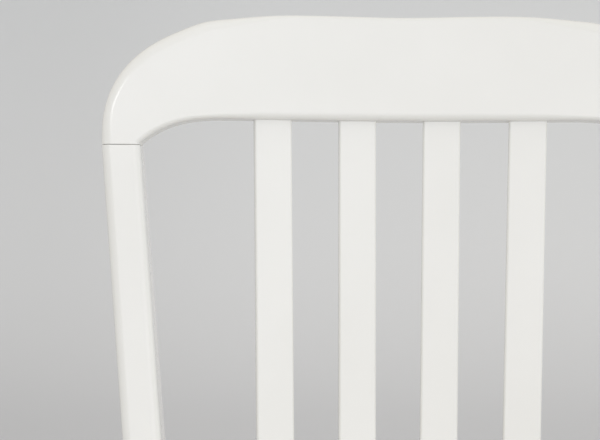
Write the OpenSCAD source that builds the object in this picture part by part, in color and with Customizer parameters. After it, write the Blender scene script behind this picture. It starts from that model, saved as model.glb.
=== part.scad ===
// Dining chair with a four-slat back, a bent crest rail and an upholstered, screwed-on seat.
// Millimetres, +Z up, the front of the chair faces -Y, the origin is on the floor under the middle.

/* [Chair] */
// Height of the crest rail's top edge above the floor
overall_h = 912; // [880:1:950]
// Width across the shoulders of the back
back_w = 432; // [424:1:446]
// Lean of the back from upright, in degrees
rake = 9.5; // [7:0.5:12]
// Height of the seat frame's top edge
frame_h = 430; // [415:1:445]
// Place of the rear legs' centre at the seat, behind the origin
rear_y = 154.1; // [148:0.5:162]
// Place of the front legs' centre, before the origin
front_y = -237.9; // [-245:0.5:-230]

/* [Crest rail] */
// Height of the crest rail at its middle
crest_h = 76.3; // [70:0.1:84]
// Thickness of the crest rail, front to back
crest_t = 24; // [22:0.5:28]
// Radius of the top edge's rounding at its middle
crest_round = 3; // [2:0.5:4]
// Reach of the rounding on the shoulders, across the face
shoulder_round = 9; // [6:0.5:10]
// Reach of the rounding along the lower edge, across the face
under_round = 6; // [4:0.5:8]
// Depth of the crest rail's bend, from its middle to its ends
crest_sag = 21; // [14:0.5:28]
// Half length of the top edge's straight middle
crest_flat = 47; // [35:1:60]
// Fullness of the shoulders, sideways
shoulder_x = 2.95; // [2.5:0.05:3.3]
// Fullness of the shoulders, upwards
shoulder_z = 2.26; // [2.1:0.02:2.6]
// Distance from the rail's lower edge down to the joints with the legs
joint_drop = 19.7; // [17:0.1:23]
// Distance from the middle at which the lower edge starts to curve down
arch_start = 117.7; // [110:0.1:125]
// Power of the curve of the lower edge
arch_power = 3.34; // [2.8:0.02:3.8]

/* [Slats] */
// Width of a slat
slat_w = 27.5; // [24:0.1:31]
// Thickness of a slat
slat_t = 10.5; // [9:0.5:12]
// Spacing of the slats at the crest rail
slat_pitch = 62.5; // [58:0.1:67]
// Spacing of the slats at the lower rail
slat_pitch_low = 59.9; // [56:0.1:62]
// Radius of a slat's long edges
slat_round = 1.8; // [1:0.1:3]

/* [Lower back rail] */
// Height of the lower back rail
low_rail_h = 42; // [36:1:48]
// Thickness of the lower back rail
low_rail_t = 20; // [18:0.5:21]
// Height of the rail's lower edge above the seat frame
low_rail_up = 75; // [72:1:82]
// Radius of the rail's bend
low_rail_bend = 680; // [640:5:760]

/* [Rear legs] */
// Width of a rear leg, side to side
leg_w = 28; // [26:0.5:30]
// Depth of a rear leg at the crest rail
leg_top_d = 24; // [23:0.5:27]
// Depth of a rear leg at the seat
leg_seat_d = 34; // [32:0.5:38]
// Depth of a rear leg at the floor
leg_foot_d = 27; // [25:0.5:30]
// Inward slope of the posts from the shoulders down, in degrees
splay = 4.46; // [3.8:0.02:4.8]
// Backward slope of the legs below the seat, in degrees
leg_rake = 8; // [5:0.5:10]
// Radius of a rear leg's outer edges
leg_round = 7; // [4:0.5:8]
// Radius of a rear leg's inner edges
leg_inner_round = 4; // [3:0.5:6]

/* [Front legs] */
// Side of a front leg at the seat
front_s = 36; // [34:0.5:40]
// Side of a front leg at the floor
front_foot_s = 26; // [24:0.5:30]
// Distance of a front leg's outer face from the middle
front_out = 214; // [210:0.5:218]
// Radius of a front leg's long edges
front_round = 4.5; // [3:0.5:6]

/* [Seat frame] */
// Height of the seat rails
rail_h = 56; // [50:1:62]
// Thickness of the seat rails
rail_t = 20; // [18:0.5:21]
// Thickness of the corner blocks
block_t = 24; // [20:1:28]
// Leg of a corner block's triangle
block_leg = 50; // [47:1:54]

/* [Stretchers] */
// Height of the stretchers' middle above the floor
stretch_z = 165; // [140:1:200]
// Height of a stretcher
stretch_h = 26; // [22:1:30]
// Thickness of a stretcher
stretch_t = 18; // [16:0.5:19]

/* [Seat pad] */
// Height of the seat's crown above the seat frame
pad_h = 43; // [36:1:50]
// Rise of the crown above the pad's edge
pad_crown = 13; // [8:1:18]
// Thickness of the plywood board
board_t = 12; // [9:1:13]
// Thickness of the cover cloth with its lining
cover_t = 1.2; // [1:0.1:1.6]
// Overhang of the pad past the legs
pad_over = 4; // [2:0.5:6]

/* [Hidden] */
$fn = 48;

white = "#f0efea";
plywood = "#d9c29a";
beech = "#e0c79c";
steel = "#b9bcc0";

// Fits and shared clearances
fit = 0.2;
seat_gap = 0.25;
end_gap = 0.6;
over = 1;
arc_steps = 6;
function tenon_span(l, grow) = 2 * l + (grow > 0 ? 2 * end_gap : 0);

// The back's frame: u across, w away from the front, v up the rake
bend_past = 10;
back_half = back_w / 2;
bend_half = back_half + bend_past;
post_u = back_half - leg_w / 2;
post_w_mid = crest_t / 2 + bend(post_u);
crest_z = overall_h - crest_round - (crest_h - crest_round) * cos(rake) + crest_round * sin(rake);

// The rear leg's side view: straight post, arc, upright stretch at the seat, arc, straight leg
upright_over = 5;
upright_under = 9;
seat_top_z = frame_h + upright_over;
seat_low_z = frame_h - rail_h - upright_under;
up_bend = 390;
post_z = seat_top_z + up_bend * sin(rake);
low_bend = 700;
leg_z = seat_low_z - low_bend * sin(leg_rake);
foot_out = 6;
foot_curve = 1.5;
foot_h = 30;
glide_h = 4;

post_v = (post_z - crest_z + post_w_mid * sin(rake)) / cos(rake);
back_y = rear_y + up_bend * (1 - cos(rake)) - post_v * sin(rake) - post_w_mid * cos(rake);
post_x = post_u - tan(splay) * (-joint_drop - post_v);
seat_x = post_x - tan(splay) * (post_z - seat_top_z) / 2;

module on_back() {
    translate([0, back_y, crest_z]) rotate([-rake, 0, 0]) children();
}

// Bend of the crest rail's front face and its slope at a distance u from the middle
function bend(u) = -crest_sag * pow(sin(90 * u / bend_half), 2);
function bend_angle(u) = atan(crest_sag * PI / (2 * bend_half) * sin(180 * u / bend_half));

// Points of a rectangle of w by d with rounded corners round its middle, counter-clockwise
// reach holds how far each corner's rounding goes along w and d, from the right upper corner on
function soft_rect(w, d, reach) = [
    for (c = [0:3])
        for (i = [0:arc_steps])
            let (a = 90 * (c + i / arc_steps),
                sx = (c == 0 || c == 3) ? 1 : -1,
                sy = c < 2 ? 1 : -1,
                r = reach[c])
            [sx * (w / 2 - r[0]) + r[0] * cos(a), sy * (d / 2 - r[1]) + r[1] * sin(a)]
];
function round_rect(w, d, r) = soft_rect(w, d, [for (c = [0:3]) [r, r]]);

// 0 below a, 1 above b and a smooth rise between them
function smooth_rise(x, a, b) =
    let (t = min(1, max(0, (x - a) / (b - a))))
    t * t * (3 - 2 * t);

// Middle of a ring of points
function middle(ring, i = 0, sum = [0, 0, 0]) =
    i == len(ring) ? sum / len(ring) : middle(ring, i + 1, sum + ring[i]);

// A closed skin through rings of points, each counter-clockwise seen against the way they go,
// with a fan round the middle of the first and the last ring
module skin(rings) {
    n = len(rings[0]);
    last = len(rings) - 1;
    start = (last + 1) * n;
    points = concat([for (ring = rings) for (p = ring) p], [middle(rings[0]), middle(rings[last])]);
    sides = [
        for (k = [0:last - 1])
            for (i = [0:n - 1])
                let (a = k * n + i, b = k * n + (i + 1) % n)
                each [[a, a + n, b + n], [a, b + n, b]]
    ];
    fans = [
        for (i = [0:n - 1])
            let (j = (i + 1) % n)
            each [[start, i, j], [start + 1, last * n + j, last * n + i]]
    ];
    polyhedron(points = points, faces = concat(sides, fans), convexity = 8);
}

// A rectangle of w by d with round corners
module rounded_plate(w, d, r) {
    square([w - 2 * r, d], center = true);
    square([w, d - 2 * r], center = true);
    for (sx = [-1, 1])
        for (sy = [-1, 1])
            translate([sx * (w / 2 - r), sy * (d / 2 - r)]) circle(r);
}

module box(size, at) {
    translate(at) cube(size, center = true);
}

// Crest rail

// Lower edge of the crest rail, with a small step and a small overhang where it meets a post
arch_step = 1.2;
arch_lip = 0.5;
arch_end = back_half - leg_w + arch_lip;
arch_scale = joint_drop - arch_step;
function arch(u) =
    -arch_scale * pow(max(0, abs(u) - arch_start) / (arch_end - arch_start), arch_power);

// Outer and lower points of the stations round a shoulder, from the widest point to the flat top
shoulder_steps = 18;
widest_v = -13.3;
function shoulder(i) =
    let (a = 90 * i / shoulder_steps,
        outer_u = crest_flat + (back_half - crest_flat) * pow(max(0, cos(a)), 2 / shoulder_x),
        outer_v = widest_v + (crest_h - widest_v) * pow(sin(a), 2 / shoulder_z),
        inner_u = crest_flat + (arch_end - crest_flat) * cos(a))
    [[outer_u, outer_v], [inner_u, arch(inner_u)]];

crest_end = [[back_half, -joint_drop], [arch_end, -joint_drop]];
half_stations = concat([crest_end], [for (i = [0:shoulder_steps]) shoulder(i)]);
middle_stations = [for (u = [-crest_flat / 2, 0, crest_flat / 2]) [[u, crest_h], [u, 0]]];
function flip(s) = [[-s[0][0], s[0][1]], [-s[1][0], s[1][1]]];
crest_stations = concat(
    [for (s = half_stations) flip(s)],
    middle_stations,
    [for (i = [len(half_stations) - 1:-1:0]) half_stations[i]]);

// Rounding at a station: slight along the top, broad on the shoulders, broad along the front's
// lower edge, slight along the rear's and where the arches run into the posts
shoulder_from = 75;
shoulder_to = 150;
shoulder_deep = 6.8;
joint_from = 125;
joint_to = 182;
joint_round = 3.6;
under_deep = 5;
behind_round = 3;
function blend(a, b, share) = a + (b - a) * share;
function crest_reach(u) =
    let (out = smooth_rise(abs(u), shoulder_from, shoulder_to),
        near = smooth_rise(abs(u), joint_from, joint_to),
        outer = blend([crest_round, crest_round], [shoulder_deep, shoulder_round], out),
        inner = blend([under_deep, under_round], [joint_round, joint_round], near))
    [outer, outer, inner, [behind_round, behind_round]];

function crest_ring(s) =
    let (mid = (s[0] + s[1]) / 2,
        height = norm(s[0] - s[1]),
        up = (s[0] - s[1]) / height)
    [for (p = soft_rect(crest_t, height, crest_reach(s[0][0])))
        let (q = mid + up * p[1])
        [q[0], bend(q[0]) + crest_t / 2 + p[0], q[1]]];

module crest_rail() {
    color(white) on_back() difference() {
        skin([for (s = crest_stations) crest_ring(s)]);
        for (i = [0:slat_n - 1]) at_slat(i) slat_tenon(fit, 0);
        crest_dowel_bores();
    }
}

// Dowels between the crest rail and the rear legs
dowel_d = 8;
dowel_l = 34;
dowel_pitch = 11;
dowel_edge = 0.8;

module at_crest_dowels() {
    for (side = [-1, 1])
        for (k = [-0.5, 0.5])
            translate([side * post_u + k * dowel_pitch, post_w_mid, -joint_drop]) children();
}

module crest_dowel_bores() {
    at_crest_dowels() cylinder(d = dowel_d + 2 * fit, h = dowel_l + 2 * end_gap, center = true);
}

module crest_dowels() {
    color(beech) on_back() at_crest_dowels() translate([0, 0, -dowel_l / 2]) {
        cylinder(d1 = dowel_d - 2 * dowel_edge, d2 = dowel_d, h = dowel_edge);
        translate([0, 0, dowel_edge]) cylinder(d = dowel_d, h = dowel_l - 2 * dowel_edge);
        translate([0, 0, dowel_l - dowel_edge])
            cylinder(d1 = dowel_d, d2 = dowel_d - 2 * dowel_edge, h = dowel_edge);
    }
}

// Slats

slat_n = 4;
low_rail_v = (frame_h + low_rail_up - crest_z) / cos(rake) + low_rail_h;
slat_len = -low_rail_v;
low_rail_shift = 0.2;
low_rail_w = crest_t / 2 - low_rail_shift;
slat_tenon_w = 22;
slat_tenon_t = 7;
slat_tenon_l = 12;

function slat_place(i) = i - (slat_n - 1) / 2;
function slat_top(i) =
    let (u = slat_place(i) * slat_pitch)
    [u, bend(u) + crest_t / 2, 0];
function slat_foot(i) =
    let (u = slat_place(i) * slat_pitch_low)
    [u, low_rail_w - low_rail_bend + sqrt(pow(low_rail_bend, 2) - u * u), low_rail_v];

module at_slat(i) {
    top = slat_top(i);
    d = slat_foot(i) - top;
    translate(top)
        rotate([atan(d[1] / slat_len), atan(-d[0] / slat_len), 0])
            rotate([0, 0, -bend_angle(top[0])]) children();
}

// The tenon at a slat's top end (end 0) or foot (end 1), made larger all round by grow
module slat_tenon(grow, end) {
    l = slat_tenon_l + (grow > 0 ? end_gap : 0);
    z = end == 0 ? l / 2 : -slat_len - l / 2;
    shift = end == 0 ? -over : over;
    box([slat_tenon_w + 2 * grow, slat_tenon_t + 2 * grow, l + 2 * over], [0, 0, z + shift]);
}

module slat(i) {
    color(white) on_back() at_slat(i) {
        translate([0, 0, -slat_len + seat_gap]) linear_extrude(slat_len - 2 * seat_gap)
            rounded_plate(slat_w, slat_t, slat_round);
        box([slat_tenon_w, slat_tenon_t, slat_tenon_l + over], [0, 0, (slat_tenon_l - over) / 2]);
        box([slat_tenon_w, slat_tenon_t, slat_tenon_l + over],
            [0, 0, -slat_len - (slat_tenon_l - over) / 2]);
    }
}

module slat_1() { slat(0); }
module slat_2() { slat(1); }
module slat_3() { slat(2); }
module slat_4() { slat(3); }

// Lower back rail

low_rail_round = 4.5;
low_tenon_h = 30;
low_tenon_t = 8;
low_tenon_l = 14;
low_rail_mid_v = low_rail_v - low_rail_h / 2;
low_rail_sweep = 20;

function post_face_u(v) = post_u - tan(splay) * (-joint_drop - v) - leg_w / 2;
low_end_u = post_face_u(low_rail_mid_v);
low_end_w = low_rail_w - low_rail_bend + sqrt(pow(low_rail_bend, 2) - pow(low_end_u, 2));

module low_rail_tenons(grow) {
    for (side = [-1, 1])
        box([tenon_span(low_tenon_l, grow), low_tenon_t + 2 * grow, low_tenon_h + 2 * grow],
            [side * low_end_u, low_end_w, low_rail_mid_v]);
}

module lower_back_rail() {
    head_v = low_rail_v + over;
    foot_v = low_rail_v - low_rail_h - over;
    head_u = post_face_u(head_v) - seat_gap;
    foot_u = post_face_u(foot_v) - seat_gap;
    reach = 60;
    color(white) on_back() difference() {
        union() {
            intersection() {
                translate([0, low_rail_w - low_rail_bend, low_rail_mid_v])
                    rotate([0, 0, 90 - low_rail_sweep])
                        rotate_extrude(angle = 2 * low_rail_sweep, $fn = 180)
                            translate([low_rail_bend, 0])
                                rounded_plate(low_rail_t, low_rail_h, low_rail_round);
                translate([0, reach, 0]) rotate([90, 0, 0]) linear_extrude(2 * reach)
                    polygon([[-foot_u, foot_v], [foot_u, foot_v], [head_u, head_v],
                        [-head_u, head_v]]);
            }
            low_rail_tenons(0);
        }
        for (i = [0:slat_n - 1]) at_slat(i) slat_tenon(fit, 1);
    }
}

// Rear legs, one piece each from the floor to the crest rail

function leg_y(z) =
    z > post_z ? rear_y + up_bend * (1 - cos(rake)) + (z - post_z) * tan(rake) :
    z > seat_top_z ? rear_y + up_bend * (1 - cos(leg_lean(z))) :
    z > seat_low_z ? rear_y :
    z > leg_z ? rear_y + low_bend * (1 - cos(leg_lean(z))) :
    rear_y + low_bend * (1 - cos(leg_rake)) + (leg_z - z) * tan(leg_rake);
function leg_lean(z) =
    z > post_z ? rake :
    z > seat_top_z ? asin((z - seat_top_z) / up_bend) :
    z > seat_low_z ? 0 :
    z > leg_z ? -asin((seat_low_z - z) / low_bend) :
    -leg_rake;
function leg_x(z) =
    z > post_z ? post_x + (post_u - post_x) * (z - post_z) / (joint_z - post_z) :
    z > seat_top_z ? seat_x + (post_x - seat_x) * pow((z - seat_top_z) / (post_z - seat_top_z), 2) :
    z > seat_low_z ? seat_x :
    seat_x + foot_out * pow((seat_low_z - z) / seat_low_z, foot_curve);
function leg_d(z) =
    z > frame_h ? leg_seat_d + (leg_top_d - leg_seat_d) * (z - frame_h) / (joint_z - frame_h) :
    z > seat_low_z ? leg_seat_d :
    leg_foot_d + (leg_seat_d - leg_foot_d) * z / seat_low_z;
joint_z = crest_z - joint_drop * cos(rake) - post_w_mid * sin(rake);

leg_outer = [leg_round, leg_round];
leg_inner = [leg_inner_round, leg_inner_round];
leg_reach = [leg_outer, leg_inner, leg_inner, leg_outer];
function leg_ring(z, lean) =
    [for (p = soft_rect(leg_w, leg_d(z) / cos(leg_lean(z) - lean), leg_reach))
        [leg_x(z) + p[0], leg_y(z) + p[1] * cos(lean), z - p[1] * sin(lean)]];

function steps(a, b, n) = [for (i = [0:n - 1]) a + (b - a) * i / n];
leg_stations = concat(
    steps(glide_h + foot_h, leg_z, 4),
    steps(leg_z, seat_low_z, 5),
    [seat_low_z],
    [frame_h],
    steps(seat_top_z, post_z, 5),
    steps(post_z, joint_z, 6));

module rear_leg() {
    difference() {
        skin(concat(
            [leg_ring(glide_h, 0)],
            [for (z = leg_stations) leg_ring(z, leg_lean(z))],
            [leg_ring(joint_z, rake)]));
        on_back() crest_dowel_bores();
        on_back() low_rail_tenons(fit);
        rear_rail_tenons(fit);
        side_rail_tenons(fit);
        side_stretcher_tenons(fit);
        nail_bore(leg_x(glide_h), leg_y(glide_h));
    }
}

module rear_leg_right() { color(white) rear_leg(); }
module rear_leg_left() { color(white) mirror([1, 0, 0]) rear_leg(); }

// Front legs, tapered on their inner and rear faces

taper_z = 350;
function front_side(z) =
    z > taper_z ? front_s : front_foot_s + (front_s - front_foot_s) * z / taper_z;
front_face_y = front_y - front_s / 2;
function front_ring(z) =
    let (s = front_side(z))
    [for (p = round_rect(s, s, front_round))
        [front_out - s / 2 + p[0], front_face_y + s / 2 + p[1], z]];

module front_leg() {
    difference() {
        skin([for (z = [glide_h, taper_z, frame_h]) front_ring(z)]);
        front_rail_tenons(fit);
        side_rail_tenons(fit);
        side_stretcher_tenons(fit);
        nail_bore(front_foot_x, front_foot_y);
    }
}
front_foot_x = front_out - front_side(glide_h) / 2;
front_foot_y = front_face_y + front_side(glide_h) / 2;

module front_leg_right() { color(white) front_leg(); }
module front_leg_left() { color(white) mirror([1, 0, 0]) front_leg(); }

// Seat rails

rail_in = 3;
rail_z = frame_h - rail_h / 2;
rail_round = 2.5;
rail_tenon_h = 40;
rail_tenon_t = 8;
rail_tenon_l = 14;
rear_tenon_l = 12;
rear_rail_back = 4;
front_rail_y = front_face_y + rail_in + rail_t / 2;
rear_rail_y = rear_y + rear_rail_back;
front_leg_in = front_out - front_s;
rear_leg_in = seat_x - leg_w / 2;
side_front_y = front_face_y + front_s;
side_rear_y = rear_y - leg_seat_d / 2;
side_front_x = front_out - rail_in - rail_t / 2;
side_rear_x = seat_x + leg_w / 2 - rail_in - rail_t / 2;
function side_rail_x(y) =
    side_front_x + (side_rear_x - side_front_x) * (y - side_front_y) / (side_rear_y - side_front_y);
side_turn = atan((side_front_x - side_rear_x) / (side_rear_y - side_front_y));

// A board along X that lies between x = -half and x = half
module cross_board(half, h, t, r) {
    rotate([0, 90, 0]) translate([0, 0, -half]) linear_extrude(2 * half) rounded_plate(h, t, r);
}

module front_rail_tenons(grow) {
    for (side = [-1, 1])
        box([tenon_span(rail_tenon_l, grow), rail_tenon_t + 2 * grow, rail_tenon_h + 2 * grow],
            [side * front_leg_in, front_rail_y, rail_z]);
}

module front_seat_rail() {
    color(white) difference() {
        union() {
            translate([0, front_rail_y, rail_z])
                cross_board(front_leg_in - seat_gap, rail_h, rail_t, rail_round);
            front_rail_tenons(0);
        }
        block_screw_bores();
    }
}

module rear_rail_tenons(grow) {
    for (side = [-1, 1])
        box([tenon_span(rear_tenon_l, grow), rail_tenon_t + 2 * grow, rail_tenon_h + 2 * grow],
            [side * rear_leg_in, rear_rail_y, rail_z]);
}

module rear_seat_rail() {
    color(white) difference() {
        union() {
            translate([0, rear_rail_y, rail_z])
                cross_board(rear_leg_in - seat_gap, rail_h, rail_t, rail_round);
            rear_rail_tenons(0);
        }
        block_screw_bores();
    }
}

module side_rail_tenons(grow) {
    for (end = [[side_front_x, side_front_y, rail_z], [side_rear_x, side_rear_y, rail_z]])
        box([rail_tenon_t + 2 * grow, tenon_span(rail_tenon_l, grow), rail_tenon_h + 2 * grow], end);
}

module side_seat_rail() {
    length = side_rear_y - side_front_y;
    difference() {
        union() {
            intersection() {
                translate([(side_front_x + side_rear_x) / 2, (side_front_y + side_rear_y) / 2, rail_z])
                    rotate([0, 0, side_turn]) rotate([90, 0, 0])
                        translate([0, 0, -length]) linear_extrude(2 * length)
                            rounded_plate(rail_t, rail_h, rail_round);
                box([4 * rail_h, length - 2 * seat_gap, 2 * rail_h],
                    [side_front_x, (side_front_y + side_rear_y) / 2, rail_z]);
            }
            side_rail_tenons(0);
        }
        block_screw_bores();
    }
}

module side_seat_rail_right() { color(white) side_seat_rail(); }
module side_seat_rail_left() { color(white) mirror([1, 0, 0]) side_seat_rail(); }

// Stretchers

stretch_round = 4;
stretch_tenon_h = 16;
stretch_tenon_t = 8;
stretch_tenon_l = 12;
stretch_front_x = front_out - front_side(stretch_z) / 2;
stretch_rear_x = leg_x(stretch_z);
function front_leg_back(z) = front_face_y + front_side(z);
function rear_leg_front(z) = leg_y(z) - leg_d(z) / 2 / cos(leg_rake);
stretch_front_y = front_leg_back(stretch_z);
stretch_rear_y = rear_leg_front(stretch_z);
stretch_len = stretch_rear_y - stretch_front_y;
stretch_turn = atan((stretch_front_x - stretch_rear_x) / stretch_len);

module side_stretcher_tenons(grow) {
    for (end = [[stretch_front_x, stretch_front_y], [stretch_rear_x, stretch_rear_y]])
        box([stretch_tenon_t + 2 * grow, tenon_span(stretch_tenon_l, grow),
            stretch_tenon_h + 2 * grow], [end[0], end[1], stretch_z]);
}

module side_stretcher() {
    low = stretch_z - stretch_h;
    high = stretch_z + stretch_h;
    difference() {
        union() {
            intersection() {
                translate([(stretch_front_x + stretch_rear_x) / 2,
                    (stretch_front_y + stretch_rear_y) / 2, stretch_z])
                    rotate([0, 0, stretch_turn]) rotate([90, 0, 0])
                        translate([0, 0, -stretch_len]) linear_extrude(2 * stretch_len)
                            rounded_plate(stretch_t, stretch_h, stretch_round);
                rotate([90, 0, 90]) linear_extrude(front_out) polygon([
                    [front_leg_back(low) + seat_gap, low],
                    [rear_leg_front(low) - seat_gap, low],
                    [rear_leg_front(high) - seat_gap, high],
                    [front_leg_back(high) + seat_gap, high]]);
            }
            side_stretcher_tenons(0);
        }
        cross_tenons(fit);
    }
}

module side_stretcher_right() { color(white) side_stretcher(); }
module side_stretcher_left() { color(white) mirror([1, 0, 0]) side_stretcher(); }

cross_y = (stretch_front_y + stretch_rear_y) / 2;
cross_thinner = 2;
cross_t = stretch_t - cross_thinner;
cross_tenon_l = 8;
function stretch_inner(y) = (stretch_front_x + stretch_rear_x) / 2
    - (y - cross_y) * tan(stretch_turn) - stretch_t / 2 / cos(stretch_turn);

module cross_tenons(grow) {
    for (side = [-1, 1])
        box([tenon_span(cross_tenon_l, grow), stretch_tenon_t + 2 * grow,
            stretch_tenon_h + 2 * grow], [side * stretch_inner(cross_y), cross_y, stretch_z]);
}

module cross_stretcher() {
    near = cross_y - cross_t;
    far = cross_y + cross_t;
    color(white) union() {
        intersection() {
            translate([0, cross_y, stretch_z])
                cross_board(front_out, stretch_h, cross_t, stretch_round);
            translate([0, 0, stretch_z - stretch_h]) linear_extrude(2 * stretch_h) polygon([
                [-stretch_inner(near) + seat_gap, near], [stretch_inner(near) - seat_gap, near],
                [stretch_inner(far) - seat_gap, far], [-stretch_inner(far) + seat_gap, far]]);
        }
        cross_tenons(0);
    }
}

// Corner blocks and their screws

block_drop = 4;
block_z = frame_h - block_drop - block_t;
block_screw_d = 4;
block_screw_l = 30;
block_head_d = 8;
block_head_h = 2.6;
block_screw_z = block_z + block_t / 2;
block_gap = 2.5;
pocket = 4;
head_clear = 1;

// Plan of a block: corner points on the right-hand side, end 1 at the front and -1 at the rear
function block_plan(end) =
    let (face_y = end > 0 ? front_rail_y + rail_t / 2 + seat_gap : rear_rail_y - rail_t / 2 - seat_gap,
        leg_in = (end > 0 ? front_leg_in : rear_leg_in) - block_gap,
        leg_side = end > 0 ? side_front_y + block_gap : side_rear_y - block_gap,
        far_y = leg_side + end * block_leg,
        side_gap = rail_t / 2 / cos(side_turn) + seat_gap)
    [[leg_in - block_leg, face_y], [leg_in, face_y], [leg_in, leg_side],
        [side_rail_x(leg_side) - side_gap, leg_side], [side_rail_x(far_y) - side_gap, far_y]];

// Places and headings of the two screws of a block, on its slanted face
function block_screw_at(end, k) =
    let (p = block_plan(end), a = p[0], b = p[4])
    a + (b - a) * k;
function block_heading(end) =
    let (p = block_plan(end), d = p[4] - p[0])
    end > 0 ? atan2(-d[0], d[1]) : atan2(d[0], -d[1]);
screw_places = [0.24, 0.76];

module at_block_screws() {
    for (side = [0, 1])
        mirror([side, 0, 0])
            for (end = [-1, 1])
                for (k = screw_places)
                    translate([block_screw_at(end, k)[0], block_screw_at(end, k)[1], block_screw_z])
                        rotate([0, 0, block_heading(end)]) rotate([0, 90, 0]) children();
}

module block_screw_bores() {
    at_block_screws() cylinder(d = block_screw_d + 2 * fit, h = block_screw_l + pocket + end_gap);
}

module corner_block(end) {
    difference() {
        translate([0, 0, block_z]) linear_extrude(block_t) polygon(block_plan(end));
        block_screw_bores();
        at_block_screws() translate([0, 0, -over]) cylinder(d = block_head_d + head_clear, h = pocket + over);
        at_seat_screws() translate([0, 0, -over])
            cylinder(d = seat_screw_d + 2 * fit, h = block_t + 2 * over);
    }
}

module corner_block_front_right() { color(beech) corner_block(1); }
module corner_block_front_left() { color(beech) mirror([1, 0, 0]) corner_block(1); }
module corner_block_rear_right() { color(beech) corner_block(-1); }
module corner_block_rear_left() { color(beech) mirror([1, 0, 0]) corner_block(-1); }

// A pan head screw along +Z with its head's underside at z = 0 and a cross slot
screw_tip = 0.6;
head_top_share = 0.7;
slot_share = 0.5;
slot_w = 1;
module screw(d, l, head_d, head_h) {
    cylinder(d = d, h = l - d);
    translate([0, 0, l - d]) cylinder(d1 = d, d2 = screw_tip, h = d);
    difference() {
        translate([0, 0, -head_h]) cylinder(d1 = head_d * head_top_share, d2 = head_d, h = head_h);
        for (a = [0, 90])
            rotate([0, 0, a]) box([head_d * slot_share, slot_w, head_h], [0, 0, -head_h]);
    }
}

module corner_block_screws() {
    color(steel) at_block_screws() translate([0, 0, pocket])
        screw(block_screw_d, block_screw_l, block_head_d, block_head_h);
}

// Seat screws, up through the corner blocks into the board

board_z = frame_h + cover_t;
seat_screw_d = 4.5;
seat_screw_bite = 8;
seat_screw_l = board_z + seat_screw_bite - block_z;
seat_head_d = 9;
seat_head_h = 3;

// Place of a seat screw: between the middle of the block's slanted face and its inner corner
seat_screw_share = 0.3;
function seat_screw_at(end) =
    let (p = block_plan(end))
    blend((p[0] + p[4]) / 2, p[2], seat_screw_share);

module at_seat_screws() {
    for (side = [0, 1])
        mirror([side, 0, 0])
            for (end = [-1, 1])
                translate([seat_screw_at(end)[0], seat_screw_at(end)[1], block_z]) children();
}

module seat_screw_bores() {
    at_seat_screws() cylinder(d = seat_screw_d + 2 * fit, h = seat_screw_l + end_gap);
}

module seat_screws() {
    color(steel) at_seat_screws() screw(seat_screw_d, seat_screw_l, seat_head_d, seat_head_h);
}

// Seat pad: board, foam, cover and dust cover

pad_front_y = front_face_y - pad_over;
pad_front_x = front_out + pad_over;
pad_rear_x = seat_x + leg_w / 2 + pad_over;
leg_clear = 4;
pad_notch_y = side_rear_y - leg_clear;
pad_tail_x = rear_leg_in - leg_clear;
pad_tail_y = rear_rail_y + rail_t / 2;
pad_mid_y = (pad_front_y + pad_tail_y) / 2;
pad_edge = pad_h - pad_crown;
front_radius = 30;
rear_radius = 14;
notch_radius = 7;
tail_radius = 12;
edge_parts = 3;

// Corners of the pad's right half: their places, their radii and the steps of their arcs
pad_corners = [
    [pad_front_x, pad_front_y, front_radius, 5],
    [pad_rear_x, pad_notch_y, rear_radius, 3],
    [pad_tail_x, pad_notch_y, -notch_radius, 2],
    [pad_tail_x, pad_tail_y, tail_radius, 3]];

function turned(p, a) = [p[0] * cos(a) - p[1] * sin(a), p[0] * sin(a) + p[1] * cos(a)];

// Points of the arc of radius r that rounds the corner b between a and c, hollow where r < 0
function corner_arc(a, b, c, r, n) =
    let (p = (a - b) / norm(a - b),
        q = (c - b) / norm(c - b),
        half = acos(p * q) / 2,
        centre = b + (p + q) / norm(p + q) * abs(r) / sin(half),
        start = b + p * abs(r) / tan(half) - centre,
        turn = sign(r) * (180 - 2 * half))
    [for (i = [0:n]) centre + turned(start, turn * i / n)];

function pad_point(i) = [pad_corners[i][0], pad_corners[i][1]];
pad_half = concat(
    [for (t = [0:edge_parts - 1])
        [t / edge_parts * (pad_front_x - front_radius), pad_front_y]],
    [for (i = [0:3])
        let (a = i == 0 ? [0, pad_front_y] : pad_point(i - 1),
            c = i == 3 ? [0, pad_tail_y] : pad_point(i + 1))
        each corner_arc(a, pad_point(i), c, pad_corners[i][2], pad_corners[i][3])],
    [for (t = [edge_parts - 1:-1:1])
        [t / edge_parts * (pad_tail_x - tail_radius), pad_tail_y]]);
pad_outline = concat(
    pad_half,
    [[0, pad_tail_y]],
    [for (i = [len(pad_half) - 1:-1:1]) [-pad_half[i][0], pad_half[i][1]]]);

// The pad's outline drawn in to a share of its size
function pad_plan(share) =
    [for (p = pad_outline) [p[0] * share, pad_mid_y + (p[1] - pad_mid_y) * share]];
function pad_ring(share, rise) =
    [for (p = pad_plan(share)) [p[0], p[1], frame_h + rise]];

// Shares and rises of the pad's rings: up the drawn-in sides, then over the crown
side_rings = [[0.978, 0], [0.99, 0.1], [0.998, 0.3], [1, 0.53], [0.993, 0.8], [0.974, 1]];
crown_shares = [0.92, 0.8, 0.62, 0.38, 0.1];
crown_power = 3;
function crown(share) = pad_edge + pad_crown * (1 - pow(share, crown_power));
pad_rings = concat(
    [for (s = side_rings) [s[0], s[1] * pad_edge]],
    [for (s = crown_shares) [s, crown(s)]]);
lip_share = 0.72;
wall_share = 0.006;
foam_share = 0.009;
foam_least = 1;
board_share = 0.965;

module seat_cover() {
    last = len(pad_rings) - 1;
    color("#d8cfbf") difference() {
        skin(concat(
            [for (i = [last:-1:0])
                pad_ring(pad_rings[i][0] - wall_share, max(cover_t, pad_rings[i][1] - cover_t))],
            [pad_ring(lip_share, cover_t), pad_ring(lip_share, 0)],
            [for (s = pad_rings) pad_ring(s[0], s[1])]));
        seat_screw_bores();
    }
}

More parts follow.
